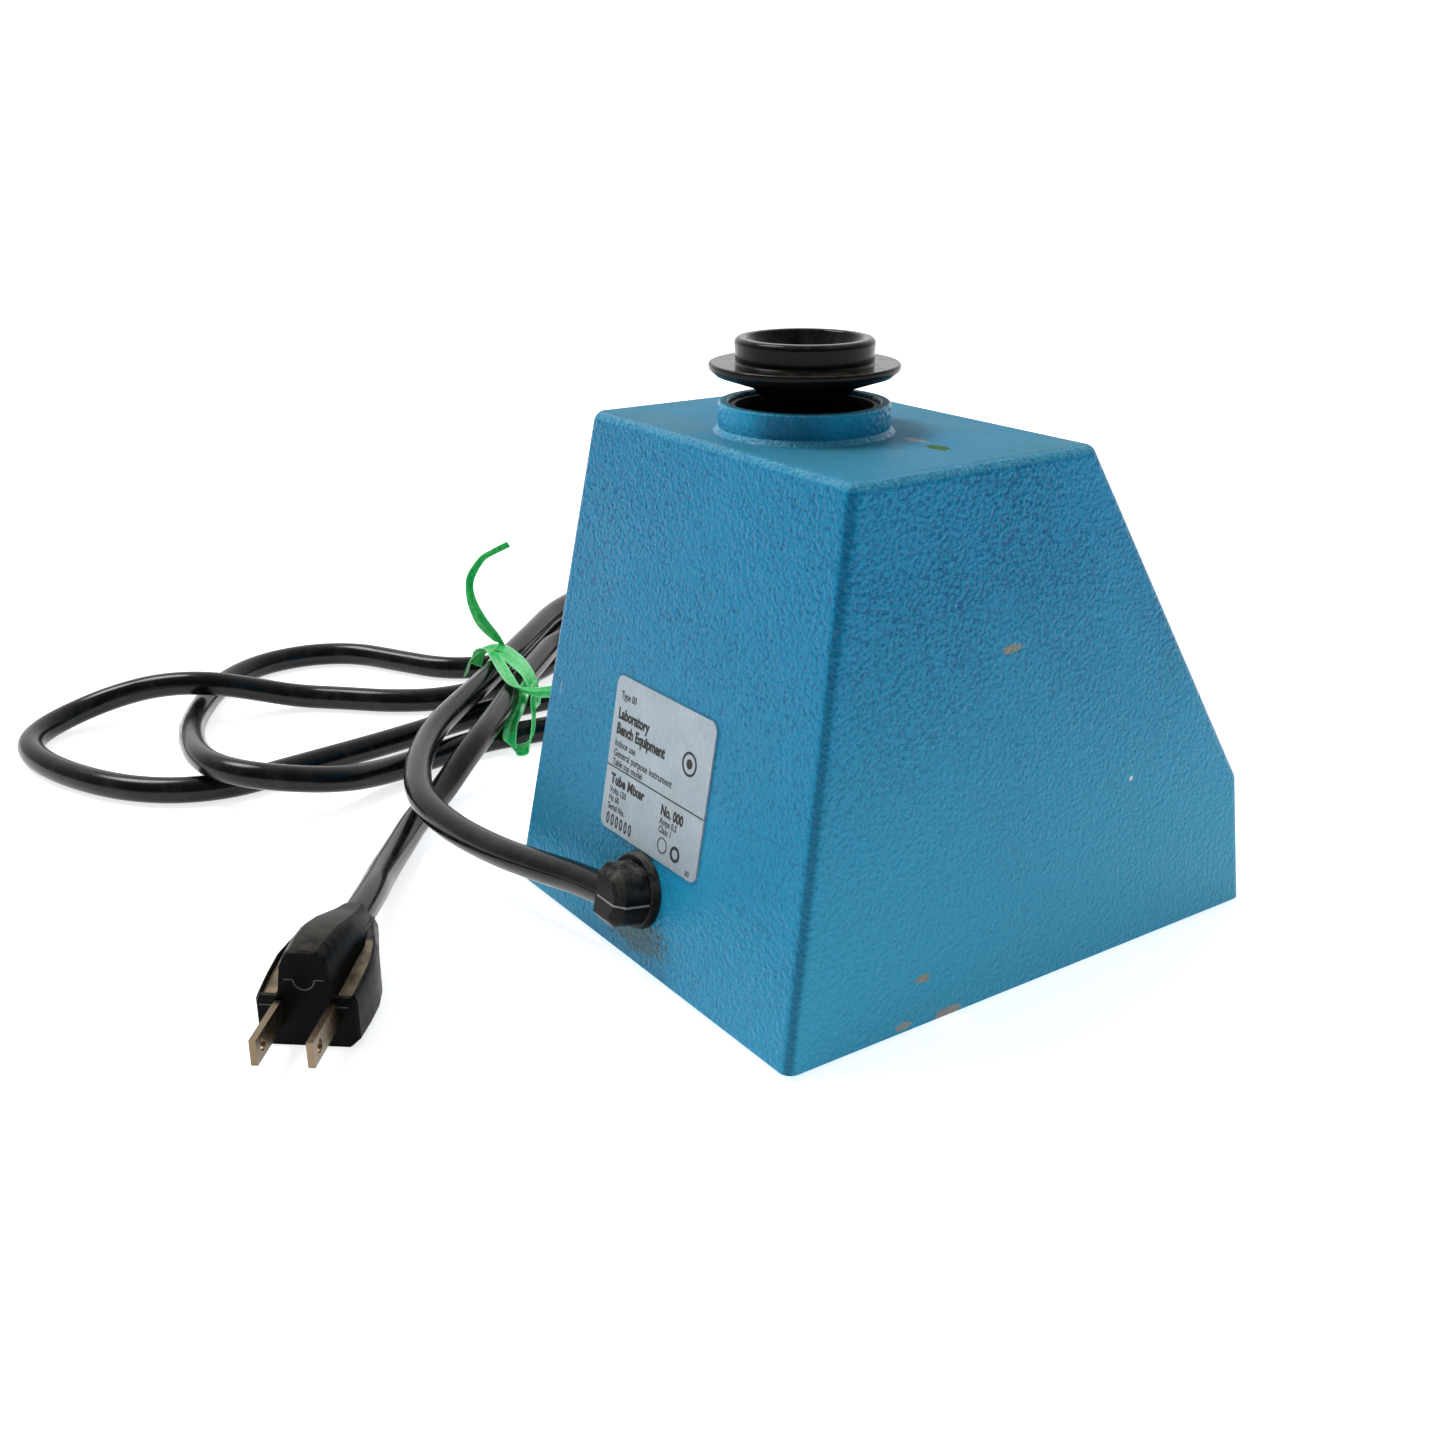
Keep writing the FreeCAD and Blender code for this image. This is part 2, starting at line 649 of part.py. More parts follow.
def rocker_bezel():
    """Return the mode switch's body with its frame on the panel."""
    frame = rounded_plate(9, 14, 1.5, 0, 1.2)
    body = box(-7, 7, -12, 12, -WALL - 14, 0)
    pocket = box(-5.6, 5.6, -10.6, 10.6, -WALL - 5, 3)
    pin = Part.makeCylinder(1.2, 12.4, Vector(-6.2, 0, -1.5), X_AXIS)
    return placed(joined(joined(frame, body).cut(pocket), pin), slope_placement(ROCKER_X))


def mode_rocker():
    """Return the three-position rocker on its pivot pin."""
    corners = [
        (Vector(-5.3, -9.6, 1.0), 0.6), (Vector(-5.3, -9.2, 3.4), 0.8), (Vector(-5.3, 0, 2.0), 20),
        (Vector(-5.3, 9.2, 3.4), 0.8), (Vector(-5.3, 9.6, 1.0), 0.6), (Vector(-5.3, 3.4, -4.2), 1.0),
        (Vector(-5.3, -3.4, -4.2), 1.0),
    ]
    hole = Part.makeCylinder(1.2 + RUNNING_GAP, 14, Vector(-7, 0, -1.5), X_AXIS)
    return placed(extruded(corners, X_AXIS * 10.6).cut(hole), slope_placement(ROCKER_X))


# ---------------------------------------------------------------- electrical parts
def control_board():
    """Return the speed controller's circuit board."""
    return box(-52, -16, BOARD_Y, BOARD_Y + 46, BOARD_Z, BOARD_TOP)


def board_standoffs():
    """Return the board's four plastic pillars."""
    return group([disc(x, y, PLATE_TOP, BOARD_Z, 2.5) for x in (-48, -20) for y in (BOARD_Y + 8, BOARD_Y + 24)])


def triac_heatsink():
    """Return the finned aluminium heat sink on the board."""
    y0 = BOARD_Y + 2
    fins = [box(-50, -38, y0 + 4 * i, y0 + 4 * i + 1.2, BOARD_TOP, BOARD_TOP + 20) for i in range(4)]
    return joined(box(-50, -38, y0, y0 + 13.2, BOARD_TOP, BOARD_TOP + 2), *fins)


def film_capacitor():
    """Return the interference capacitor."""
    body = box(-34, -26, BOARD_Y + 4, BOARD_Y + 22, BOARD_TOP, BOARD_TOP + 13.4)
    return body.makeFillet(1, body.Edges)


def terminal_block():
    """Return the screw terminal for the mains wires."""
    y1 = BOARD_Y + 45
    block = box(-44, -20, y1 - 10, y1, BOARD_TOP, BOARD_TOP + 11)
    wells = [disc(x, y1 - 5, BOARD_TOP + 7, BOARD_TOP + 12, 2) for x in TERMINAL_X]
    mouths = [box(x - 1.5, x + 1.5, y1 - 3, y1 + 1, BOARD_TOP + 1, BOARD_TOP + 4.4) for x in TERMINAL_X]
    return block.cut(wells + mouths)


def mains_wires():
    """Return the three insulated wires from the strain relief to the terminal."""
    wires = []
    for i, mouth_x in enumerate(TERMINAL_X):
        side = 3.0 * (i - 1)
        wires.append(run_of_wire("mains_wire", [
            Vector(BUSHING_X + side, 64.0, 18.0), Vector(-4 + side, 57, 16.5), Vector(-13.5 + side, 44, 14.5),
            Vector(-14.4 + side, 20, 15), Vector(-15.0 + side, 1, 17), Vector(mouth_x, -5, 18),
            Vector(mouth_x, BOARD_Y + 42.1, 17.3),
        ], 1.2))
    return group(wires)


def motor_wires():
    """Return the two wires from the winding to the board."""
    wires = []
    for side in (-5, 5):
        wires.append(run_of_wire("motor_wire", [
            Vector(side, -17, 54), Vector(side, -17.2, 44), Vector(side - 8, -24, 34),
            Vector(-20 + side / 4, -30, 25), Vector(-20.4 + side / 4, -30, BOARD_TOP + 0.2),
        ], 1.0))
    return group(wires)


# ---------------------------------------------------------------- strain relief, cord and plug
def bushing_half(upper):
    """Return one half of the right-angle strain relief, split along the cord's plane."""
    body = joined(
        disc(0, 0, -8, 0, BUSHING_BODY_R),
        turned([(0, -5.6, 0), (7.4, -5.6, 0), (8.7, -3.1, 0), (0, -3.1, 0)]),
        turned([(0, 0, 0), (BUSHING_FLANGE_R, 0, 0.3), (BUSHING_FLANGE_R - 0.6, 2.5, 0.6), (0, 2.5, 0)]),
    )
    hood = extruded([
        (Vector(-2.0, -7.4, 0), 0), (Vector(5.5, -7.4, 0), 4), (Vector(9.2, 0, 0), 6),
        (Vector(5.5, 7.4, 0), 4), (Vector(-2.0, 7.4, 0), 0),
    ], Z_AXIS * 11.4)
    hood = hood.makeChamfer(2.2, [edge for edge in hood.Edges if edge.BoundBox.ZMin > 11 and
                                  edge.BoundBox.XMax > -1.9])
    socket = Part.makeCylinder(CORD_R, 5, Vector(-3, 0, CORD_STAND_OFF), X_AXIS)
    bore = disc(0, 0, -9, -2, CORD_R)
    keep = box(-20, 20, 0, 20, -20, 20) if upper else box(-20, 20, -20, 0, -20, 20)
    half = joined(body, hood).cut([socket, bore]).common(keep)
    return placed(half, rear_placement(BUSHING_X, BUSHING_Z))


def hank_points():
    """Return the hank's plan outline as (point, radius) corners."""
    return [(Vector(x, y, 0), radius) for x, y, radius in HANK_OUTLINE]


def tie_ring():
    """Return the flat band round the bundle."""
    half = TIE_HALF_LENGTH
    outer = box(-TIE_WIDTH / 2, TIE_WIDTH / 2, -half, half, 0, HANK_TOP + TIE_THICK)
    inner = box(-TIE_WIDTH, TIE_WIDTH, TIE_THICK - half, half - TIE_THICK, TIE_THICK, HANK_TOP)
    ring = outer.cut(inner)
    ring.rotate(Vector(0, 0, 0), Z_AXIS, TIE_DIRECTION)
    ring.translate(TIE_CENTRE)
    return ring


def cord_hank(tie, tubes):
    """Return one closed solid of the tied hank's outer shape."""
    hank = extruded(hank_points(), Z_AXIS * HANK_TOP)
    hank = hank.makeFillet(4, [edge for edge in hank.Edges if edge.BoundBox.ZMin > HANK_TOP - 0.1])
    return hank.cut([tie] + tubes)


def plug_frame():
    """Return the placement of the plug: local X forwards, local Z up."""
    return Placement(PLUG_FRONT, Rotation(Z_AXIS, PLUG_AZIMUTH))


def plug_body():
    """Return the moulded plug with its raised hump and tapered neck."""
    face = [
        (Vector(0, -11.8, 0), 1), (Vector(0, 11.8, 0), 1), (Vector(0, 11.8, 13), 1.5), (Vector(0, 6, 15), 0),
        (Vector(0, 5, 24.3), 2), (Vector(0, -5, 24.3), 2), (Vector(0, -6, 15), 0), (Vector(0, -11.8, 13), 1.5),
    ]
    head = extruded(face, X_AXIS * -17)
    waist = extruded([
        (Vector(-17, -11.8, 0), 0), (Vector(-17, 11.8, 0), 0), (Vector(-30, 8.5, 0), 3), (Vector(-30, -8.5, 0), 3),
    ], Z_AXIS * 16)
    neck = Part.makeCone(6.2, 7.6, PLUG_LENGTH - 26, Vector(-PLUG_LENGTH, 0, PLUG_CORD_Z), X_AXIS)
    slots = [box(-20, 1, s * BLADE_SPACING / 2 - 0.8, s * BLADE_SPACING / 2 + 0.8, 5.3, 11.6) for s in (-1, 1)]
    pocket = [slot.common(box(-6, 1, -20, 20, 0, 30)) for slot in slots]
    return placed(joined(head, waist, neck).cut(pocket), plug_frame())


def plug_blades():
    """Return the two parallel blades with their holes."""
    blades = []
    for side in (-1, 1):
        s = side * BLADE_SPACING / 2
        blade = box(-6, 17, s - 0.8, s + 0.8, 5.3, 11.6)
        hole = Part.makeCylinder(1.6, 4, Vector(13, s - 2, 8.45), Y_AXIS)
        blades.append(placed(blade.cut(hole), plug_frame()))
    return group(blades)


# ---------------------------------------------------------------- all nodes
def build():
    """Return every node's shape by name."""
    bobbin, winding = bobbin_solids()
    lead_in = run_of_wire("cord_lead_in", LEAD_IN_ROUTE, CORD_R)
    plug_lead = run_of_wire("cord_plug_lead", PLUG_LEAD_ROUTE, CORD_R)
    tie = tie_ring()
    nodes = {
        "housing": housing(),
        "collar": collar(),
        "collar_liner": collar_liner(),
        "nameplate": nameplate(),
        "base_plate": base_plate(),
        "base_screws": base_screws(),
        "motor_standoffs": motor_standoffs(),
        "standoff_screws": standoff_screws(),
        "motor_grommets": motor_grommets(),
        "lower_spacers": motor_spacers(LOWER_BRACKET_Z + BRACKET_THICK, STATOR_Z),
        "upper_spacers": motor_spacers(STATOR_TOP, UPPER_BRACKET_Z),
        "motor_bolts": motor_bolts(),
        "lower_bracket": bearing_bracket(LOWER_BRACKET_Z),
        "upper_bracket": bearing_bracket(UPPER_BRACKET_Z),
        "lower_bearing": sleeve_bearing(38, 49, LOWER_BRACKET_Z),
        "upper_bearing": sleeve_bearing(95, 106, UPPER_BRACKET_Z),
        "stator_core": stator_core(),
        "coil_bobbin": bobbin,
        "motor_winding": winding,
        "rotor_core": rotor_core(),
        "motor_shaft": motor_shaft(),
        "cooling_fan": cooling_fan(),
        "eccentric_hub": eccentric_hub(),
        "counterweight": counterweight(),
        "crank_pin": crank_pin(),
        "crank_bearing": crank_bearing(),
        "cup_core": cup_core(),
        "cup_head": cup_head(),
        "thrust_button": thrust_button(),
        "thrust_guide": thrust_guide(),
        "press_spring": press_spring(),
        "touch_switch": touch_switch(),
        "switch_lever": switch_lever(),
        "switch_bracket": switch_bracket(),
        "dial_plate": dial_plate(),
        "speed_pot": speed_pot(),
        "pot_nut": pot_nut(),
        "pot_shaft": pot_shaft(),
        "speed_knob": speed_knob(),
        "rocker_bezel": rocker_bezel(),
        "mode_rocker": mode_rocker(),
        "control_board": control_board(),
        "board_standoffs": board_standoffs(),
        "triac_heatsink": triac_heatsink(),
        "film_capacitor": film_capacitor(),
        "terminal_block": terminal_block(),
        "mains_wires": mains_wires(),
        "motor_wires": motor_wires(),
        "bushing_upper": bushing_half(True),
        "bushing_lower": bushing_half(False),
        "cord_lead_in": lead_in,
        "cord_hank": cord_hank(tie, [lead_in, plug_lead]),
        "cord_plug_lead": plug_lead,
        "cord_tie": tie,
        "plug_body": plug_body(),
        "plug_blades": plug_blades(),
    }
    places = {"rear_left": (-1, 1), "rear_right": (1, 1), "front_left": (-1, -1), "front_right": (1, -1)}
    for name, (sx, sy) in places.items():
        nodes["foot_" + name] = rubber_foot(sx * FOOT_X, sy * FOOT_Y)
    return nodes


os.makedirs("parts", exist_ok=True)
for node, shape in build().items():
    if not shape.isValid():
        raise ValueError(node + " is not a valid shape")
    shape.exportStep("parts/" + node + ".step")
    print(node, "solids", len(shape.Solids), "volume", round(shape.Volume, 1))
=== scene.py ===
"""Bench vortex mixer: finishes, cord, ribbon tie, plug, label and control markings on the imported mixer.

Lengths are in metres, in the mixer's own frame: +Z up, z = 0 on the bench, rear panel towards +Y.
"""
import math

import bmesh
import bpy
from mathutils import Matrix, Vector


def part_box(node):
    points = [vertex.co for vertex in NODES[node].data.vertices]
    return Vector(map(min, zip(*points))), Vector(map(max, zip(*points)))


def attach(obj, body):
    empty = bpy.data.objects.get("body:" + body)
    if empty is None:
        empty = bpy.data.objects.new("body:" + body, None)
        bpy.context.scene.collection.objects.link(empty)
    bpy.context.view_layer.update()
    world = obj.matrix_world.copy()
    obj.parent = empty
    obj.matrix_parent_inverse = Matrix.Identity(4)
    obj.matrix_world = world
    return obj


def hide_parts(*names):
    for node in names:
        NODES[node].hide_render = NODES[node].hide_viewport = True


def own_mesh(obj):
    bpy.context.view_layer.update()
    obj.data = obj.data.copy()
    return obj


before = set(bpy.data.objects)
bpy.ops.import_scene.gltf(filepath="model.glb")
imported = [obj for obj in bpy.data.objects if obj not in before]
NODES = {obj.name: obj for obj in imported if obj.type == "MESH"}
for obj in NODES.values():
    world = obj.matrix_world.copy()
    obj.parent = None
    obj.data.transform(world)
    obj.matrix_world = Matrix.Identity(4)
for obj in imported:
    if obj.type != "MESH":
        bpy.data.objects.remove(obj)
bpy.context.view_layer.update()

bl_info = {
    "name": "Vortex Mixer",
    "version": (1, 0, 0),
    "blender": (4, 5, 0),
    "location": "View3D > Sidebar > Mixer",
    "description": "Dresses the packed vortex mixer with its finishes, cord, tie, plug and markings",
    "category": "Object",
}

MM = 0.001

# ---------------------------------------------------------------- camera
CAMERA_PLACE = Vector((-0.29987, 0.25934, 0.19986))
CAMERA_TARGET = Vector((0.12146, -0.03422, 0.00287))
CAMERA_LENS = 40.05

REAR_OUTWARD = Vector((0.0, 127.0, 22.0))

# ---------------------------------------------------------------- cord route
MOUTH = (0.005, 0.080, 0.0197)
LEAD_IN = [
    MOUTH, (0.017, 0.081, 0.0188), (0.033, 0.0845, 0.017), (0.053, 0.088, 0.015), (0.076, 0.090, 0.014),
    (0.098, 0.0885, 0.0141), (0.119, 0.0795, 0.0141), (0.136, 0.069, 0.0136),
]
# Over the strands to the tie, then the first turn of the hank beside the housing.
FIRST_TURN = [
    (0.150, 0.058, 0.0136), (0.164, 0.043, 0.0136), (0.180, 0.025, 0.0136), (0.199, 0.006, 0.0136),
    (0.218, -0.014, 0.0136), (0.237, -0.033, 0.0135), (0.252, -0.055, 0.0125), (0.257, -0.080, 0.0080),
    (0.248, -0.104, 0.0041), (0.223, -0.117, 0.0041), (0.194, -0.114, 0.0041), (0.170, -0.099, 0.0041),
    (0.156, -0.076, 0.0041), (0.149, -0.050, 0.0041), (0.146, -0.022, 0.0041),
]
# The shorter outer loop, along the bench and back to the tie.
SHORT_LOOP = [
    (0.1465, 0.002, 0.0041), (0.148, 0.022, 0.0041), (0.151, 0.043, 0.0041), (0.147, 0.062, 0.0041),
    (0.141, 0.082, 0.0052), (0.1355, 0.098, 0.0088), (0.138, 0.114, 0.0122), (0.149, 0.126, 0.0134),
    (0.167, 0.130, 0.0125), (0.200, 0.123, 0.0085), (0.230, 0.111, 0.0044), (0.255, 0.095, 0.0041),
    (0.268, 0.076, 0.0041), (0.269, 0.056, 0.0041), (0.260, 0.040, 0.0041), (0.243, 0.031, 0.0041),
    (0.223, 0.020, 0.0041), (0.2155, 0.0025, 0.0041), (0.221, -0.016, 0.0041), (0.238, -0.034, 0.0041),
    (0.257, -0.055, 0.0041),
]
# Round the far end of the hank again, over the first turn and under the tie.
SECOND_TURN = [
    (0.272, -0.080, 0.0041), (0.271, -0.107, 0.0041), (0.250, -0.128, 0.0065), (0.220, -0.133, 0.0115),
    (0.191, -0.130, 0.0134), (0.170, -0.116, 0.0136), (0.163, -0.093, 0.0136), (0.167, -0.066, 0.0090),
    (0.171, -0.038, 0.0045), (0.173, -0.010, 0.0041),
]
# The longer outer loop, under the short loop's end and back over its side.
LONG_LOOP = [
    (0.174, 0.014, 0.0041), (0.173, 0.038, 0.0041), (0.168, 0.062, 0.0041), (0.165, 0.085, 0.0041),
    (0.163, 0.104, 0.0041), (0.1605, 0.123, 0.0041), (0.167, 0.140, 0.0041), (0.182, 0.154, 0.0041),
    (0.207, 0.165, 0.0041), (0.229, 0.1675, 0.0041), (0.2425, 0.1605, 0.0041), (0.2505, 0.147, 0.0055),
    (0.2495, 0.132, 0.0092), (0.2405, 0.119, 0.0132), (0.2315, 0.105, 0.0136), (0.2295, 0.090, 0.0086),
    (0.226, 0.0765, 0.0043), (0.215, 0.0635, 0.0041), (0.203, 0.0515, 0.0041), (0.1935, 0.035, 0.0041),
    (0.195, 0.012, 0.0041), (0.204, -0.010, 0.0041), (0.217, -0.030, 0.0041),
]
# The last and smallest turn, inside the other two.
THIRD_TURN = [
    (0.232, -0.045, 0.0041), (0.245, -0.061, 0.0041), (0.244, -0.081, 0.0043), (0.231, -0.094, 0.0052),
    (0.212, -0.0965, 0.0068), (0.195, -0.087, 0.0088), (0.1885, -0.069, 0.0110), (0.194, -0.053, 0.0130),
]
# Over the other strands, under the first bend and down to the plug.
PLUG_LEAD = [
    (0.203, -0.041, 0.0136), (0.2055, -0.026, 0.0136), (0.2005, -0.012, 0.0136), (0.190, -0.002, 0.0136),
    (0.177, 0.011, 0.0136), (0.162, 0.025, 0.0136), (0.147, 0.038, 0.0136), (0.133, 0.051, 0.0134),
    (0.125, 0.061, 0.0106), (0.116, 0.074, 0.0049), (0.105, 0.087, 0.0041), (0.090, 0.099, 0.0044),
    (0.072, 0.112, 0.0070), (0.0545, 0.1224, 0.0108), (0.0421, 0.1319, 0.0120),
]
CORD_ROUTE = LEAD_IN + FIRST_TURN + SHORT_LOOP + SECOND_TURN + LONG_LOOP + THIRD_TURN + PLUG_LEAD


# ---------------------------------------------------------------- settings
def colour_setting(name, description, default):
    """Return a colour property."""
    return bpy.props.FloatVectorProperty(
        name=name, description=description, subtype="COLOR", size=3, min=0.0, max=1.0, default=default)


class MixerFinish(bpy.types.PropertyGroup):
    """Colours and texture sizes of the mixer's visible surfaces."""
    enamel: colour_setting("Enamel", "Colour of the hammered enamel", (0.003, 0.195, 0.375))
    enamel_dark: colour_setting("Enamel pits", "Colour in the pits of the enamel", (0.001, 0.105, 0.235))
    enamel_grain: bpy.props.FloatProperty(
        name="Enamel grain", description="Width of one hammer mark", unit="LENGTH",
        min=0.0002, max=0.01, default=0.0010, precision=5)
    rubber: colour_setting("Rubber", "Colour of the cup head and the feet", (0.0022, 0.0023, 0.0023))
    ribbon: colour_setting("Tie", "Colour of the ribbon tie", (0.004, 0.46, 0.085))
    foil: colour_setting("Label foil", "Colour of the rating label", (0.38, 0.455, 0.51))


class MixerCord(bpy.types.PropertyGroup):
    """Sizes of the mains cord and its tie."""
    diameter: bpy.props.FloatProperty(
        name="Cord diameter", description="Outer diameter of the mains cord", unit="LENGTH",
        min=0.004, max=0.012, default=0.0082, precision=4)
    tie_thickness: bpy.props.FloatProperty(
        name="Tie thickness", description="Thickness of the ribbon tie", unit="LENGTH",
        min=0.0001, max=0.001, default=0.0003, precision=5)


class MixerStage(bpy.types.PropertyGroup):
    """Light and floor of the studio."""
    key_power: bpy.props.FloatProperty(
        name="Key light", description="Strength of the soft key light", min=0.0, default=1.8)
    key_softness: bpy.props.FloatProperty(
        name="Key softness", description="Width of the key light as seen from the mixer",
        subtype="ANGLE", min=0.0, max=3.0, default=0.42)
    surround: bpy.props.FloatProperty(
        name="Surround", description="Strength of the bright part of the studio",
        min=0.0, default=1.15)
    dark_side: bpy.props.FloatProperty(
        name="Dark side", description="Strength of the darker part behind the viewer",
        min=0.0, default=0.12)
    floor_glow: bpy.props.FloatProperty(
        name="Floor glow", description="Light that the white floor gives by itself",
        min=0.0, default=0.75)
    floor: colour_setting("Floor", "Colour of the floor", (0.86, 0.86, 0.86))


# ---------------------------------------------------------------- material building
SPOT_GRAIN = 900
SPOT_EDGE = (1.06, 0.86)     # ragged distance at which a spot starts and is full


def add_node(tree, kind, inputs=None, **settings):
    """Add a node whose inputs each take a plain value or another node's output."""
    node = tree.nodes.new(kind)
    for key, value in settings.items():
        setattr(node, key, value)
    for key, value in (inputs or {}).items():
        if isinstance(value, bpy.types.NodeSocket):
            tree.links.new(value, node.inputs[key])
        else:
            node.inputs[key].default_value = value
    return node


class Finish:
    """One procedural material, built node by node in object coordinates."""

    def __init__(self, name, colour, roughness, metallic=0.0):
        self.material = bpy.data.materials.new(name)
        self.material.use_nodes = True
        self.tree = self.material.node_tree
        self.shader = self.tree.nodes["Principled BSDF"]
        self.set("Base Color", (*colour, 1.0))
        self.set("Roughness", roughness)
        self.set("Metallic", metallic)
        self.place = self.add("ShaderNodeTexCoord").outputs["Object"]

    def add(self, kind, inputs=None, **settings):
        return add_node(self.tree, kind, inputs, **settings)

    def set(self, socket, value):
        self.shader.inputs[socket].default_value = value

    def feed(self, source, socket):
        self.tree.links.new(source, self.shader.inputs[socket])

    def stretched(self, scale):
        return self.add("ShaderNodeMapping", {"Vector": self.place, "Scale": scale}).outputs["Vector"]

    def noise(self, scale, detail=3.0, roughness=0.5, place=None):
        inputs = {"Vector": place or self.place, "Scale": scale, "Detail": detail, "Roughness": roughness}
        return self.add("ShaderNodeTexNoise", inputs).outputs["Fac"]

    def cells(self, scale, feature="SMOOTH_F1"):
        inputs = {"Vector": self.place, "Scale": scale}
        return self.add("ShaderNodeTexVoronoi", inputs, feature=feature).outputs["Distance"]

    def bands(self, scale, direction="Z"):
        inputs = {"Vector": self.place, "Scale": scale}
        return self.add("ShaderNodeTexWave", inputs, bands_direction=direction).outputs["Fac"]

    def ramp(self, value, low, high, start=0.0, end=1.0):
        """Map a value between two levels, clamped."""
        inputs = {"Value": value, "From Min": low, "From Max": high, "To Min": start, "To Max": end}
        return self.add("ShaderNodeMapRange", inputs).outputs["Result"]

    def maths(self, operation, a, b):
        return self.add("ShaderNodeMath", {0: a, 1: b}, operation=operation).outputs["Value"]

    def times(self, a, b):
        return self.maths("MULTIPLY", a, b)

    def plus(self, a, b):
        return self.maths("ADD", a, b)

    def blend(self, factor, a, b):
        """Mix two colours, each a colour or a socket."""
        inputs = {"Factor": factor}
        for socket, value in ((6, a), (7, b)):
            inputs[socket] = (*value, 1.0) if isinstance(value, tuple) else value
        return self.add("ShaderNodeMix", inputs, data_type="RGBA").outputs[2]

    def axis(self, name):
        """Return one object coordinate."""
        return self.add("ShaderNodeSeparateXYZ", {0: self.place}).outputs[name]

    def facing(self, name):
        """Return one component of the surface normal."""
        normal = self.add("ShaderNodeTexCoord").outputs["Normal"]
        return self.add("ShaderNodeSeparateXYZ", {0: normal}).outputs[name]

    def spot(self, centre, radii, ragged=0.5):
        """Return 1 inside a ragged patch at a place, falling to 0 outside it."""
        move = self.add("ShaderNodeVectorMath", {0: self.place, 1: centre}, operation="SUBTRACT")
        size = self.add("ShaderNodeVectorMath", {0: move.outputs[0], 1: radii}, operation="DIVIDE")
        length = self.add("ShaderNodeVectorMath", {0: size.outputs[0]}, operation="LENGTH")
        rough = self.ramp(self.noise(SPOT_GRAIN), 0.25, 0.75, -0.5 * ragged, 0.5 * ragged)
        return self.ramp(self.plus(length.outputs["Value"], rough), *SPOT_EDGE)

    def bump(self, height, distance, strength=1.0):
        inputs = {"Height": height, "Distance": distance, "Strength": strength}
        self.feed(self.add("ShaderNodeBump", inputs).outputs["Normal"], "Normal")

    def tint(self, value, low, high, a, b):
        """Colour the surface from a to b as a value goes from low to high."""
        self.feed(self.blend(self.ramp(value, low, high), a, b), "Base Color")

    def polish(self, value, low, high, start, end):
        """Take the roughness from start to end as a value goes from low to high."""
        self.feed(self.ramp(value, low, high, start, end), "Roughness")


def grey(level):
    return (level, level, level)


PLASTIC_GRAIN = 0.0006
PLASTIC_RELIEF = 0.00002


def cast_plastic(name, colour, roughness, scuff=0.06):
    """Moulded plastic with a fine grain and lighter rubbed patches."""
    finish = Finish(name, colour, roughness)
    patches = finish.noise(120, 4, 0.6)
    rubbed = tuple(min(1.0, channel + scuff) for channel in colour)
    finish.tint(patches, 0.52, 0.72, colour, rubbed)
    finish.polish(patches, 0.3, 0.7, roughness - 0.08, roughness + 0.12)
    finish.bump(finish.noise(1 / PLASTIC_GRAIN), PLASTIC_RELIEF)
    return finish.material


def worked_metal(name, colour, roughness, stretch=(1.0, 1.0, 12.0), depth=0.000012):
    """Metal with fine drawn or turned marks and dull patches."""
    finish = Finish(name, colour, roughness, 1.0)
    marks = finish.noise(500, 3, 0.6, finish.stretched(stretch))
    dull = finish.noise(90, 4)
    darker = tuple(channel * 0.72 for channel in colour)
    finish.tint(dull, 0.42, 0.7, colour, darker)
    finish.polish(marks, 0.3, 0.7, roughness - 0.1, roughness + 0.14)
    finish.bump(marks, depth)
    return finish.material


ENAMEL_BOUNCE_LIT = (0.030, 0.33, 0.52)
ENAMEL_COLLAR = (0.006, 0.29, 0.52)
ENAMEL_SHADED = (0.001, 0.070, 0.150)
ENAMEL_HIGHLIGHT_AND_DUST = (0.09, 0.40, 0.58)
ENAMEL_DUST = (0.075, 0.20, 0.22)
ENAMEL_RELIEF = 0.00036


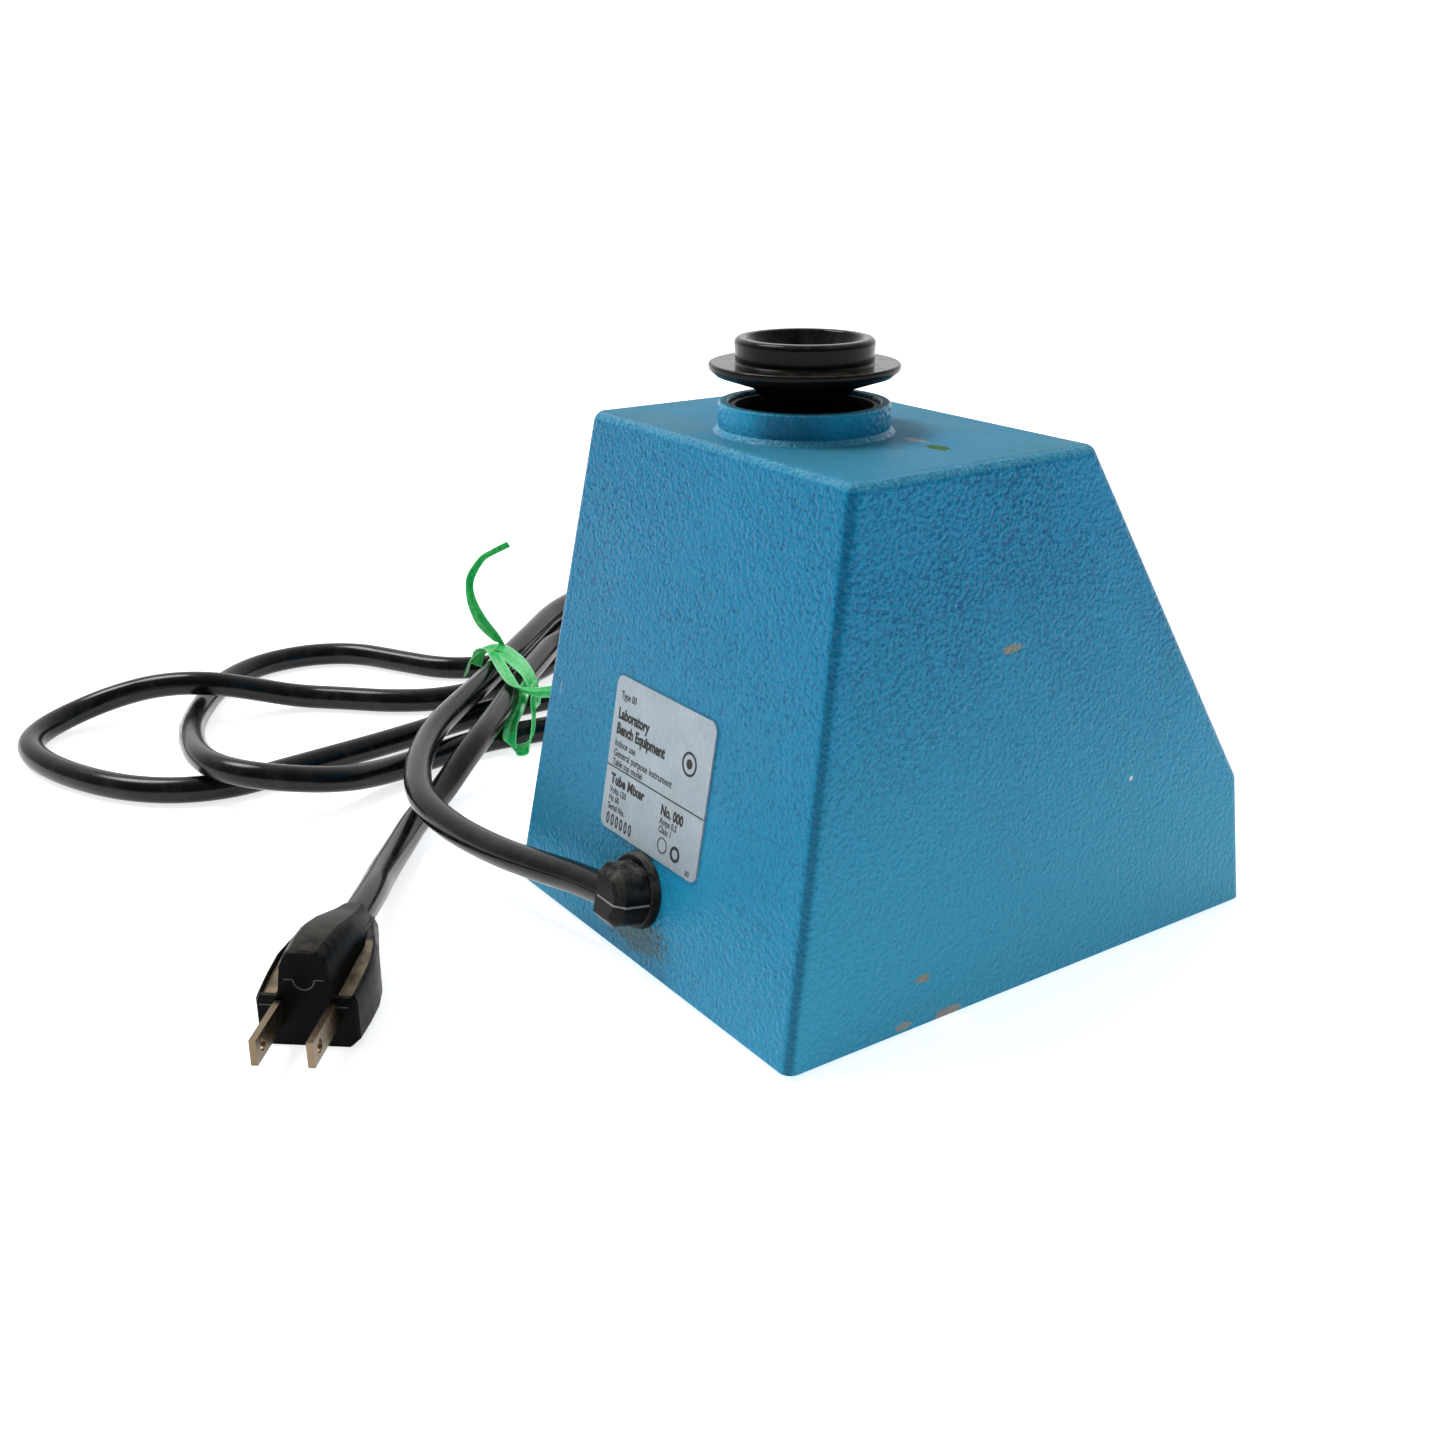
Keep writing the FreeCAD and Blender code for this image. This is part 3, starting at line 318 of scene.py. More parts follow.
def hammered_enamel(look):
    """Blue hammered enamel, paler low down as painted floor-bounce light, with a painted shaded edge,
    painted edge highlights, chips, stains and dust on the top.
    """
    finish = Finish("hammered_enamel", tuple(look.enamel), 0.3)
    finish.set("Specular IOR Level", 0.15)
    grain = 1 / look.enamel_grain
    wobble = finish.noise(grain, 1.2, 0.55)
    pits = finish.cells(grain * 0.85)
    fine = finish.noise(grain * 2.2, 2, 0.5)

    # Hammer marks, deeper on the -X side, and cloudy paler areas.
    side = finish.ramp(finish.facing("X"), -0.2, -0.9)
    pitted = finish.ramp(finish.maths("SUBTRACT", wobble, finish.times(side, 0.05)), 0.375, 0.435)
    colour = finish.blend(pitted, tuple(look.enamel_dark), tuple(look.enamel))
    paler = tuple(min(1.0, channel * 1.2 + 0.008) for channel in look.enamel)
    colour = finish.blend(finish.ramp(finish.noise(26), 0.4, 0.75, 0.0, 0.6), colour, paler)

    # Painted floor-bounce light: paler towards the bottom, most on the -X side. Brighter on the collar.
    low = finish.ramp(finish.axis("Z"), 0.105, 0.015)
    painted_bounce_light = finish.times(low, finish.ramp(side, 0.0, 1.0, 0.34, 0.85))
    colour = finish.blend(painted_bounce_light, colour, ENAMEL_BOUNCE_LIT)
    raised = finish.ramp(finish.axis("Z"), 0.1278, 0.1292, 0.0, 0.85)
    colour = finish.blend(raised, colour, ENAMEL_COLLAR)

    # Painted shade: a darker upright edge between the rear and the -X side, standing for the dark reflection
    # there. Paler speckles on the rounded upper edges: painted highlights, and dust on the collar's foot.
    painted_edge_shade = finish.times(finish.ramp(finish.facing("X"), -0.25, -0.5),
                             finish.ramp(finish.facing("Y"), 0.3, 0.6, 0.0, 0.6))
    colour = finish.blend(painted_edge_shade, colour, ENAMEL_SHADED)
    up = finish.ramp(finish.facing("Z"), 0.86, 0.99)
    lip = finish.maths("SUBTRACT", finish.ramp(finish.facing("Z"), 0.28, 0.5), up)
    speckle = finish.ramp(finish.noise(grain * 1.6, 2, 0.6), 0.42, 0.62, 0.18, 0.8)
    colour = finish.blend(finish.times(lip, speckle), colour, ENAMEL_HIGHLIGHT_AND_DUST)

    # Dust on the top, then the single marks.
    dusty = finish.times(up, finish.ramp(finish.noise(30, 4, 0.6), 0.25, 0.75, 0.15, 0.6))
    colour = finish.blend(dusty, colour, ENAMEL_DUST)
    for place, radii, tint, ragged in ENAMEL_MARKS:
        colour = finish.blend(finish.spot(place, radii, ragged), colour, tint)
    finish.feed(colour, "Base Color")

    sheen = finish.ramp(finish.noise(55, 4), 0.3, 0.75, 0.22, 0.38)
    finish.feed(finish.plus(sheen, finish.times(up, 0.32)), "Roughness")
    height = finish.plus(finish.times(wobble, 0.8), finish.times(pits, 0.7))
    height = finish.plus(height, finish.times(fine, 0.25))
    smooth_top = finish.ramp(up, 0.0, 1.0, 1.0, 0.35)
    finish.bump(finish.times(height, smooth_top), ENAMEL_RELIEF, 0.9)
    return finish.material


# Place, radii, colour and raggedness of each patch on the enamel: worn or stained patches, and last a darker
# patch low on the rear panel just under the strain relief.
ENAMEL_MARKS = [
    (Vector((-0.0341, 0.0153, 0.1285)), (0.0036, 0.0022, 0.004), (0.02, 0.11, 0.02), 0.4),
    (Vector((-0.0241, 0.0136, 0.1285)), (0.0040, 0.0016, 0.004), (0.22, 0.30, 0.30), 1.3),
    (Vector((-0.0515, 0.0563, 0.1275)), (0.0024, 0.0020, 0.0022), (0.33, 0.30, 0.28), 0.9),
    (Vector((-0.0554, 0.0098, 0.0860)), (0.003, 0.0028, 0.0011), (0.20, 0.22, 0.18), 0.9),
    (Vector((-0.0586, -0.0311, 0.0455)), (0.003, 0.0007, 0.0007), (0.55, 0.60, 0.60), 0.4),
    (Vector((-0.0612, 0.0369, 0.0131)), (0.003, 0.0022, 0.0009), (0.24, 0.25, 0.22), 1.0),
    (Vector((-0.0620, 0.0296, 0.0023)), (0.003, 0.0040, 0.0012), (0.28, 0.28, 0.26), 1.0),
    (Vector((-0.0620, 0.0428, 0.0031)), (0.003, 0.0026, 0.0009), (0.30, 0.30, 0.28), 1.0),
    (Vector((0.0508, 0.0668, 0.0572)), (0.0004, 0.003, 0.0020), (0.10, 0.32, 0.48), 0.5),
    (Vector((0.003, 0.0760, 0.0090)), (0.013, 0.006, 0.0050), (0.05, 0.13, 0.17), 1.3),
]


BROWN_DUST = (0.040, 0.033, 0.025)
RUBBER_RELIEF = 0.00007


def dusty_rubber(name, colour, roughness, dust=BROWN_DUST, dust_level=0.3, gloss=0.2, relief=RUBBER_RELIEF):
    """Dark rubber with brown dust on the faces that look up; on the plug's groove floors this colouring is a
    painted reflection.
    """
    finish = Finish(name, colour, roughness)
    finish.set("Specular IOR Level", gloss)
    blotches = finish.noise(260, 5, 0.65)
    up = finish.ramp(finish.facing("Z"), 0.15, 0.9, 0.03, 1.0)
    cover = finish.times(finish.ramp(blotches, 0.35, 0.7), finish.times(up, dust_level))
    finish.feed(finish.blend(cover, colour, dust), "Base Color")
    finish.polish(blotches, 0.3, 0.7, roughness - 0.06, roughness + 0.12)
    finish.bump(finish.plus(finish.times(finish.noise(1500), 0.3), blotches), relief, 0.5)
    return finish.material


def cord_jacket():
    """Black cord jacket with a soft shine, rubbed streaks and a slight waviness."""
    finish = Finish("cord_jacket", grey(0.004), 0.18)
    finish.set("Specular IOR Level", 0.27)
    rubbed = finish.noise(160, 5, 0.65)
    finish.tint(rubbed, 0.5, 0.74, grey(0.0035), (0.020, 0.017, 0.013))
    finish.polish(rubbed, 0.3, 0.7, 0.14, 0.26)
    finish.bump(finish.noise(200, 2), 0.00004, 0.4)
    return finish.material


def ribbon_plastic(look):
    """Green plastic ribbon with fine lengthwise ribs and a little light through it."""
    finish = Finish("ribbon_plastic", tuple(look.ribbon), 0.32)
    streaks = finish.noise(700, 3, 0.6)
    finish.tint(streaks, 0.4, 0.7, tuple(look.ribbon), (0.06, 0.70, 0.16))
    finish.set("Subsurface Weight", 0.12)
    finish.set("Subsurface Scale", 0.001)
    finish.set("Subsurface Radius", (0.3, 1.0, 0.4))
    finish.bump(streaks, 0.00012, 0.6)
    return finish.material


def label_foil(look):
    """Printed aluminium foil with a vertical brushed grain and tiny scratches."""
    finish = Finish("label_foil", tuple(look.foil), 0.42, 0.35)
    grain = finish.noise(2400, 2, 0.5, finish.stretched((1.0, 1.0, 0.12)))
    tarnish = finish.noise(140, 4)
    darker = tuple(channel * 0.86 for channel in look.foil)
    colour = finish.blend(finish.ramp(grain, 0.35, 0.65), darker, tuple(look.foil))
    colour = finish.blend(finish.ramp(tarnish, 0.62, 0.75, 0.0, 0.5), colour, (0.42, 0.44, 0.42))
    finish.feed(colour, "Base Color")
    finish.polish(tarnish, 0.3, 0.7, 0.36, 0.52)
    finish.bump(grain, 0.00001)
    return finish.material


def printed_ink():
    """Matt black printing ink, thin in places."""
    finish = Finish("printed_ink", grey(0.012), 0.6)
    finish.tint(finish.noise(2600), 0.62, 0.8, grey(0.012), grey(0.10))
    return finish.material


def laminated_iron():
    """Stack of varnished iron sheets with fine joints between them."""
    finish = Finish("laminated_iron", (0.20, 0.20, 0.22), 0.42, 1.0)
    sheets = finish.bands(310)
    finish.tint(sheets, 0.2, 0.5, (0.05, 0.04, 0.03), (0.24, 0.24, 0.26))
    finish.bump(sheets, 0.0001)
    return finish.material


def wound_copper():
    """Layers of enamelled copper wire round the bobbin."""
    finish = Finish("wound_copper", (0.46, 0.17, 0.06), 0.28, 0.9)
    turns = finish.bands(520, "X")
    finish.tint(turns, 0.1, 0.6, (0.12, 0.03, 0.01), (0.52, 0.20, 0.07))
    finish.bump(turns, 0.0003)
    return finish.material


def solder_mask():
    """Green circuit board with copper tracks under the mask."""
    finish = Finish("solder_mask", (0.02, 0.13, 0.05), 0.35)
    tracks = finish.cells(150, feature="DISTANCE_TO_EDGE")
    finish.tint(tracks, 0.05, 0.08, (0.05, 0.24, 0.09), (0.015, 0.10, 0.04))
    finish.bump(finish.ramp(tracks, 0.05, 0.08), 0.00003)
    return finish.material


def floor_paint(stage):
    """Plain white floor of a light table."""
    finish = Finish("floor_paint", tuple(stage.floor), 0.7)
    finish.set("Specular IOR Level", 0.1)
    finish.set("Emission Color", (1.0, 1.0, 1.0, 1.0))
    finish.set("Emission Strength", stage.floor_glow)
    paler = tuple(min(1.0, channel * 1.01) for channel in stage.floor)
    finish.tint(finish.noise(14), 0.3, 0.7, tuple(stage.floor), paler)
    return finish.material


MATERIALS = {}


def material(name):
    """Return a finished material by name, building all of them the first time."""
    if not MATERIALS:
        look = bpy.context.scene.mixer_finish
        MATERIALS.update({
            "enamel": hammered_enamel(look),
            "cup_rubber": dusty_rubber("cup_rubber", tuple(look.rubber), 0.14, (0.12, 0.10, 0.08), 0.32,
                                       0.12, 0.00003),
            "foot_rubber": dusty_rubber("foot_rubber", tuple(look.rubber), 0.6),
            "jacket": cord_jacket(),
            "ribbon": ribbon_plastic(look),
            "foil": label_foil(look),
            "ink": printed_ink(),
            "white_ink": cast_plastic("white_ink", grey(0.75), 0.5, scuff=-0.1),
            "bushing_nylon": dusty_rubber("bushing_nylon", grey(0.003), 0.26, (0.13, 0.125, 0.11), 1.0, 0.1),
            "plug_vinyl": dusty_rubber("plug_vinyl", grey(0.0015), 0.34, (0.075, 0.064, 0.050), 0.75, 0.05),
            # Tan groove floors of the plug: a painted reflection of the light on these upward faces.
            "painted_sheen_vinyl": dusty_rubber("painted_sheen_vinyl", (0.11, 0.085, 0.05), 0.35, (0.36, 0.27, 0.16), 1.0),
            "black_plastic": cast_plastic("black_plastic", grey(0.014), 0.4),
            "liner_plastic": cast_plastic("liner_plastic", grey(0.006), 0.55),
            "knob_plastic": cast_plastic("knob_plastic", grey(0.012), 0.32),
            "rocker_plastic": cast_plastic("rocker_plastic", grey(0.016), 0.25, scuff=0.03),
            "nylon": cast_plastic("nylon", (0.62, 0.58, 0.48), 0.45),
            "zinc": worked_metal("zinc_plate", (0.58, 0.58, 0.56), 0.36, (1.0, 4.0, 1.0)),
            "ground_steel": worked_metal("ground_steel", (0.62, 0.62, 0.63), 0.22, (1.0, 1.0, 20.0)),
            "cast_aluminium": worked_metal("cast_aluminium", grey(0.66), 0.45, (1.0, 1.0, 1.0), 0.00004),
            "bronze": worked_metal("bronze", (0.46, 0.29, 0.13), 0.4, (1.0, 1.0, 1.0), 0.00003),
            "blade_brass": worked_metal("blade_brass", (0.22, 0.165, 0.105), 0.32, (6.0, 6.0, 1.0),
                                        0.00002),
            "iron": laminated_iron(),
            "copper": wound_copper(),
            "board": solder_mask(),
            "wire": cast_plastic("wire_insulation", grey(0.02), 0.4),
            "moulding_line": cast_plastic("moulding_line", grey(0.045), 0.4, scuff=0.12),
            "bushing_seam": cast_plastic("bushing_seam", (0.20, 0.19, 0.18), 0.4, scuff=0.2),
            "ribbon_edge": cast_plastic("ribbon_edge", (0.16, 0.72, 0.27), 0.3, scuff=0.05),
        })
    return MATERIALS[name]


NODE_FINISHES = {
    "enamel": ["housing", "collar"],
    "liner_plastic": ["collar_liner"],
    "foil": ["nameplate"],
    "cast_aluminium": ["dial_plate", "eccentric_hub", "cup_core", "pot_shaft", "triac_heatsink"],
    "zinc": [
        "base_plate", "base_screws", "motor_standoffs", "standoff_screws", "lower_spacers", "upper_spacers",
        "motor_bolts", "lower_bracket", "upper_bracket", "counterweight", "switch_bracket", "pot_nut",
    ],
    "foot_rubber": [
        "motor_grommets", "foot_rear_left", "foot_rear_right", "foot_front_left", "foot_front_right",
    ],
    "bronze": ["lower_bearing", "upper_bearing"],
    "iron": ["stator_core", "rotor_core"],
    "nylon": [
        "coil_bobbin", "cooling_fan", "thrust_button", "thrust_guide", "board_standoffs", "film_capacitor",
        "terminal_block",
    ],
    "copper": ["motor_winding"],
    "ground_steel": ["motor_shaft", "crank_pin", "crank_bearing", "press_spring", "switch_lever"],
    "cup_rubber": ["cup_head"],
    "black_plastic": ["touch_switch", "speed_pot", "rocker_bezel"],
    "rocker_plastic": ["mode_rocker"],
    "board": ["control_board"],
    "wire": ["mains_wires", "motor_wires"],
    "bushing_nylon": ["bushing_upper", "bushing_lower"],
    "blade_brass": ["plug_blades"],
}


# ---------------------------------------------------------------- mesh helpers
def link(name, data, finish, body):
    """Make an object that rides on a body, with its finish."""
    piece = bpy.data.objects.new(name, data)
    bpy.context.scene.collection.objects.link(piece)
    piece.data.materials.append(material(finish))
    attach(piece, body)
    return piece


def mesh_of(name, points, faces):
    """Make a mesh with all its faces turned outwards."""
    mesh = bpy.data.meshes.new(name)
    mesh.from_pydata([tuple(point) for point in points], [], faces)
    work = bmesh.new()
    work.from_mesh(mesh)
    bmesh.ops.recalc_face_normals(work, faces=work.faces)
    work.to_mesh(mesh)
    work.free()
    return mesh


def loft(name, rings):
    """Skin closed rings of equal count and close both ends."""
    count = len(rings[0])
    points = [point for ring in rings for point in ring]
    faces = []
    for i in range(len(rings) - 1):
        for j in range(count):
            after = (j + 1) % count
            near = i * count
            far = near + count
            faces.append((near + j, near + after, far + after, far + j))
    faces.append(tuple(range(count)))
    faces.append(tuple((len(rings) - 1) * count + j for j in range(count)))
    return mesh_of(name, points, faces)


BEVEL_FROM = math.radians(28)


def soften(piece, bevel, sharp_degrees):
    """Round a piece's edges and shade it smooth."""
    if bevel:
        rounding = piece.modifiers.new("rounding", "BEVEL")
        rounding.width = bevel
        rounding.segments = 3
        rounding.limit_method = "ANGLE"
        rounding.angle_limit = BEVEL_FROM
    piece.data.shade_smooth()
    piece.data.set_sharp_from_angle(angle=math.radians(sharp_degrees))


def smooth_line(points, steps):
    """Return points on a Catmull-Rom curve through the given points."""
    line = []
    ends = [points[0] * 2 - points[1]] + points + [points[-1] * 2 - points[-2]]
    for a, b, c, d in zip(ends, ends[1:], ends[2:], ends[3:]):
        for i in range(steps):
            t = i / steps
            line.append(0.5 * (2 * b + (c - a) * t + (2 * a - 5 * b + 4 * c - d) * t ** 2
                               + (3 * b - a - 3 * c + d) * t ** 3))
    line.append(points[-1])
    return line


def panel_frame(node, outward, right):
    """Return a matrix at the middle of a flat node: X right, Y up, Z outward, on its outer face."""
    low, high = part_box(node)
    outward = outward.normalized()
    right = right.normalized()
    up = outward.cross(right)
    middle = (low + high) / 2
    reach = max(vertex.co.dot(outward) for vertex in NODES[node].data.vertices)
    middle += outward * (reach - middle.dot(outward))
    turn = Matrix((right, up, outward)).transposed().to_4x4()
    return Matrix.Translation(middle) @ turn


CAP_HEIGHT = 0.7            # height of a capital letter as a share of the font size
LETTER_RELIEF = 0.00002
PRINT_RELIEF = 0.00005


def lettering(name, text, place, x, y, height, finish, body, weight, narrow, spacing, centred=False):
    """Print one line of generic lettering, slightly raised, on a panel."""
    curve = bpy.data.curves.new(name, "FONT")
    curve.body = text
    curve.size = height / CAP_HEIGHT
    curve.offset = weight
    curve.extrude = LETTER_RELIEF
    curve.resolution_u = 3
    curve.space_character = spacing
    curve.align_x = "CENTER" if centred else "LEFT"
    curve.align_y = "CENTER" if centred else "BOTTOM_BASELINE"
    piece = bpy.data.objects.new(name, curve)
    place = place @ Matrix.Translation((x, y, LETTER_RELIEF))
    piece.matrix_world = place @ Matrix.Diagonal((narrow, 1, 1, 1))
    bpy.context.scene.collection.objects.link(piece)
    curve.materials.append(material(finish))
    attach(piece, body)
    return piece


def printed_shape(name, outlines, place, finish, body, thick=PRINT_RELIEF):
    """Print flat closed outlines on a panel as one thin raised piece."""
    points = []
    faces = []
    for outline in outlines:
        start = len(points)
        count = len(outline)
        points += [place @ Vector((x, y, z)) for z in (0.0, thick) for x, y in outline]
        faces.append(tuple(start + i for i in range(count)))
        faces.append(tuple(start + count + i for i in range(count)))
        for i in range(count):
            after = start + (i + 1) % count
            faces.append((start + i, after, after + count, start + count + i))
    return link(name, mesh_of(name, points, faces), finish, body)


def ring_segments(x, y, outer, inner, count=28, start=0.0, sweep=2 * math.pi):
    """Return the outlines of a flat ring or arc given in millimetres, as short sectors side by side."""
    outlines = []
    for i in range(count):
        a = start + sweep * i / count
        b = start + sweep * (i + 1) / count
        outlines.append([((x + radius * math.cos(angle)) * MM, (y + radius * math.sin(angle)) * MM)
                         for radius, angle in ((outer, a), (outer, b), (inner, b), (inner, a))])
    return outlines


def rectangle(left, bottom, right, top):
    """Return the outline of a rectangle given in millimetres."""
    return [(x * MM, y * MM) for x, y in ((left, bottom), (right, bottom), (right, top), (left, top))]


# ---------------------------------------------------------------- stage
KEY_DIRECTION = Vector((-0.50, -0.28, -1.0))
BRIGHT_SIDE = Vector((0.82, -0.572, 0.35))
STUDIO_RANGE = (-0.75, 0.95)    # closeness to the bright side at which the light starts and is full
STUDIO_RISE = 2.0
FLOOR_HALF = 6.0


def studio_light(stage):
    """Make a white studio that is bright above and behind the mixer and darker on the viewer's side."""
    world = bpy.data.worlds.new("studio")
    world.use_nodes = True
    tree = world.node_tree
    backdrop = tree.nodes["Background"]
    backdrop.inputs["Color"].default_value = (1.0, 1.0, 1.0, 1.0)
    direction = add_node(tree, "ShaderNodeTexCoord").outputs["Generated"]
    side = add_node(tree, "ShaderNodeVectorMath", {0: direction, 1: BRIGHT_SIDE}, operation="DOT_PRODUCT")
    level = add_node(tree, "ShaderNodeMapRange", {
        "Value": side.outputs["Value"], "From Min": STUDIO_RANGE[0], "From Max": STUDIO_RANGE[1]})
    rise = add_node(tree, "ShaderNodeMath", {0: level.outputs["Result"], 1: STUDIO_RISE}, operation="POWER")
    strength = add_node(tree, "ShaderNodeMapRange", {
        "Value": rise.outputs["Value"], "To Min": stage.dark_side, "To Max": stage.surround})
    tree.links.new(strength.outputs["Result"], backdrop.inputs["Strength"])
    return world


class MIXER_OT_stage(bpy.types.Operator):
    """Set up the camera, the pale floor and the soft studio light"""
    bl_idname = "mixer.stage"
    bl_label = "Stage"

    def execute(self, context):
        stage = context.scene.mixer_stage
        camera = bpy.data.objects.new("camera", bpy.data.cameras.new("camera"))
        camera.data.sensor_width = 36.0
        camera.data.lens = CAMERA_LENS
        camera.data.clip_start = 0.01
        camera.location = CAMERA_PLACE
        camera.rotation_euler = (CAMERA_TARGET - CAMERA_PLACE).to_track_quat("-Z", "Y").to_euler()
        context.scene.collection.objects.link(camera)
        context.scene.camera = camera
        corners = [(x * FLOOR_HALF, y * FLOOR_HALF, 0) for x, y in ((-1, -1), (1, -1), (1, 1), (-1, 1))]
        mesh = bpy.data.meshes.new("floor")
        mesh.from_pydata(corners, [], [(0, 1, 2, 3)])
        floor = bpy.data.objects.new("floor", mesh)
        mesh.materials.append(floor_paint(stage))
        context.scene.collection.objects.link(floor)
        sun = bpy.data.lights.new("key_light", "SUN")
        sun.energy = stage.key_power
        sun.angle = stage.key_softness
        key = bpy.data.objects.new("key_light", sun)
        key.rotation_euler = KEY_DIRECTION.to_track_quat("-Z", "Y").to_euler()
        context.scene.collection.objects.link(key)
        context.scene.world = studio_light(stage)
        context.scene.view_settings.view_transform = "Standard"
        return {"FINISHED"}


# ---------------------------------------------------------------- cord, plug and tie
def plug_section(along, half_width, shoulder, hump_base, hump_top, top, groove, bottom=0.0):
    """Return one closed cross-section of the plug, in millimetres, at a distance behind its face."""
    side = [
        (0.0, bottom), (half_width - 2.0, bottom), (half_width, bottom + 2.0),
        (half_width, shoulder - 1.6), (half_width - 0.7, shoulder), (half_width - 1.1, shoulder + 0.1),
        (half_width - 1.3, shoulder - groove), (hump_base + 0.7, shoulder - groove),
        (hump_base + 0.3, shoulder + 0.6), (hump_top + 1.1, top - 3.6), (hump_top, top - 1.3),
        (hump_top - 1.2, top - 0.3), (0.0, top),
    ]
    mirrored = [(-s, z) for s, z in side[-2:0:-1]]
    return [(-along, s, z) for s, z in side + mirrored]


PLUG_SECTIONS = [
    # behind face, half width, shoulder, hump base, hump top, top, groove depth
    (0.0, 11.3, 12.7, 6.0, 4.3, 23.8, 0.0),
    (0.8, 11.8, 13.1, 6.2, 4.4, 24.3, 0.1),
    (1.3, 11.8, 13.2, 6.2, 4.4, 24.3, 1.1),
    (8.0, 12.1, 14.0, 6.4, 4.8, 24.2, 1.2),
    (15.0, 12.0, 14.9, 6.7, 5.1, 23.4, 1.2),
    (21.0, 11.0, 15.3, 6.9, 5.1, 21.8, 1.0),
    (22.6, 10.6, 15.4, 6.9, 5.0, 21.4, 0.1),
    (28.0, 8.8, 14.9, 6.0, 4.6, 19.6, 0.0),
    (33.0, 7.2, 13.6, 5.2, 4.0, 18.0, 0.0),
    (38.0, 5.9, 12.6, 4.6, 3.3, 16.9, 0.0),
]
NECK_RISE = [0.0] * 7 + [1.2, 3.6, 6.6]     # underside of each section above the bench
GROOVE_STRIP = (6, 7)                       # points of a section between which the groove lies, its floor painted tan as a reflection
GROOVE_SECTIONS = range(1, 6)
PLUG_FRONT = Vector((0.0127, 0.1560, 0.0))
PLUG_AZIMUTH = math.radians(140.7)
PLUG_BEVEL = 0.0004
# Left, bottom, right and top of the moulding lines on the plug's face, in millimetres.
HOLE_HEIGHT = 16.9
PLUG_LINES = [
    (2.4, HOLE_HEIGHT, 4.6, HOLE_HEIGHT + 0.25), (-4.6, HOLE_HEIGHT, -2.4, HOLE_HEIGHT + 0.25),
    (-11.0, 10.2, -7.2, 10.45), (7.2, 10.2, 9.6, 10.45),
]


def build_plug():
    """Make the moulded plug body with its hump and side grooves, their floors painted tan as a reflection,
    and the lines on its face.
    """
    turn = Matrix.Translation(PLUG_FRONT) @ Matrix.Rotation(PLUG_AZIMUTH, 4, "Z")
    rings = []
    for section, rise in zip(PLUG_SECTIONS, NECK_RISE):
        rings.append([turn @ (Vector(point) * MM) for point in plug_section(*section, bottom=rise)])
    mesh = loft("plug_moulding", rings)
    plug = link("plug_moulding", mesh, "plug_vinyl", "base")
    # Second finish: the painted tan reflection on the groove floors.
    mesh.materials.append(material("painted_sheen_vinyl"))
    count = len(rings[0])
    grooves = (set(GROOVE_STRIP), {count - point for point in GROOVE_STRIP})
    for face in mesh.polygons:
        strip = {vertex % count for vertex in face.vertices}
        if strip in grooves and min(face.vertices) // count in GROOVE_SECTIONS:
            face.material_index = 1
    soften(plug, PLUG_BEVEL, 30)
    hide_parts("plug_body")
    front = turn @ Matrix(((0, 0, 1), (1, 0, 0), (0, 1, 0))).to_4x4()
    marks = ring_segments(0.0, HOLE_HEIGHT, 2.55, 2.25, 16, math.pi, math.pi)
    marks += [rectangle(*line) for line in PLUG_LINES]
    moulded = printed_shape("plug_face_marks", marks, front, "moulding_line", "base")
    return plug, moulded


BUSHING_PLACE = Vector((0.003, 0.0732, 0.0197))
BUSHING_SEAM = 0.0005
# Distances towards -X and out of the rear panel, in millimetres, of the strain relief's skin and seam.
BUSHING_SKIN = [(-1.0, 11.3), (6.2, 11.3), (8.4, 9.1), (8.4, 2.5)]
SEAM_EDGE = [(-1.0, 11.55), (6.35, 11.55), (8.7, 9.2), (8.7, 2.5)]


def build_bushing_seam():
    """Make the pale moulding seam where the two halves of the strain relief meet."""
    outward = REAR_OUTWARD.normalized()
    right = Vector((-1.0, 0.0, 0.0))
    up = outward.cross(right)
    middle = BUSHING_PLACE - up * (BUSHING_SEAM / 2)
    turn = Matrix((right, outward, right.cross(outward))).transposed().to_4x4()
    strips = []
    for i in range(len(BUSHING_SKIN) - 1):
        corners = (BUSHING_SKIN[i], BUSHING_SKIN[i + 1], SEAM_EDGE[i + 1], SEAM_EDGE[i])
        strips.append([(x * MM, z * MM) for x, z in corners])
    return printed_shape("bushing_seam", strips, Matrix.Translation(middle) @ turn, "bushing_seam", "base",
                         BUSHING_SEAM)


RIBBON_STEPS = 10
RIBBON_SPREAD = 1.28        # widening of the half-width vectors
# Place across the ribbon from -1 to 1 and height in millimetres: thin rims and a raised core.
RIBBON_PROFILE = (
    (-1.0, 0.0), (-0.82, 0.12), (-0.18, 0.0), (0.0, 0.35), (0.18, 0.0), (0.82, 0.12), (1.0, 0.0),
)


def ribbon(name, centres, edges, thickness):
    """Make a folded strip from centre points and half-width vectors, with a raised core and pale rims."""
    middle = smooth_line([Vector(point) * MM for point in centres], RIBBON_STEPS)
    across = smooth_line([Vector(edge) * (RIBBON_SPREAD * MM) for edge in edges], RIBBON_STEPS)
    points = []
    faces = []
    width = len(RIBBON_PROFILE)
    last = len(middle) - 1
    for i, (centre, half) in enumerate(zip(middle, across)):
        along = middle[min(i + 1, last)] - middle[max(i - 1, 0)]
        normal = along.cross(half).normalized()
        points += [centre + half * s + normal * (lift * MM) for s, lift in RIBBON_PROFILE]
    for i in range(last):
        for j in range(i * width, i * width + width - 1):
            faces.append((j, j + 1, j + width + 1, j + width))
    mesh = bpy.data.meshes.new(name)
    mesh.from_pydata([tuple(point) for point in points], [], faces)
    strip = link(name, mesh, "ribbon", "base")
    mesh.materials.append(material("ribbon_edge"))
    for face in mesh.polygons:
        if face.index % (width - 1) in (0, width - 2):
            face.material_index = 1
    body = strip.modifiers.new("thickness", "SOLIDIFY")
    body.thickness = thickness
    body.offset = 0.0
    mesh.shade_smooth()
    return strip


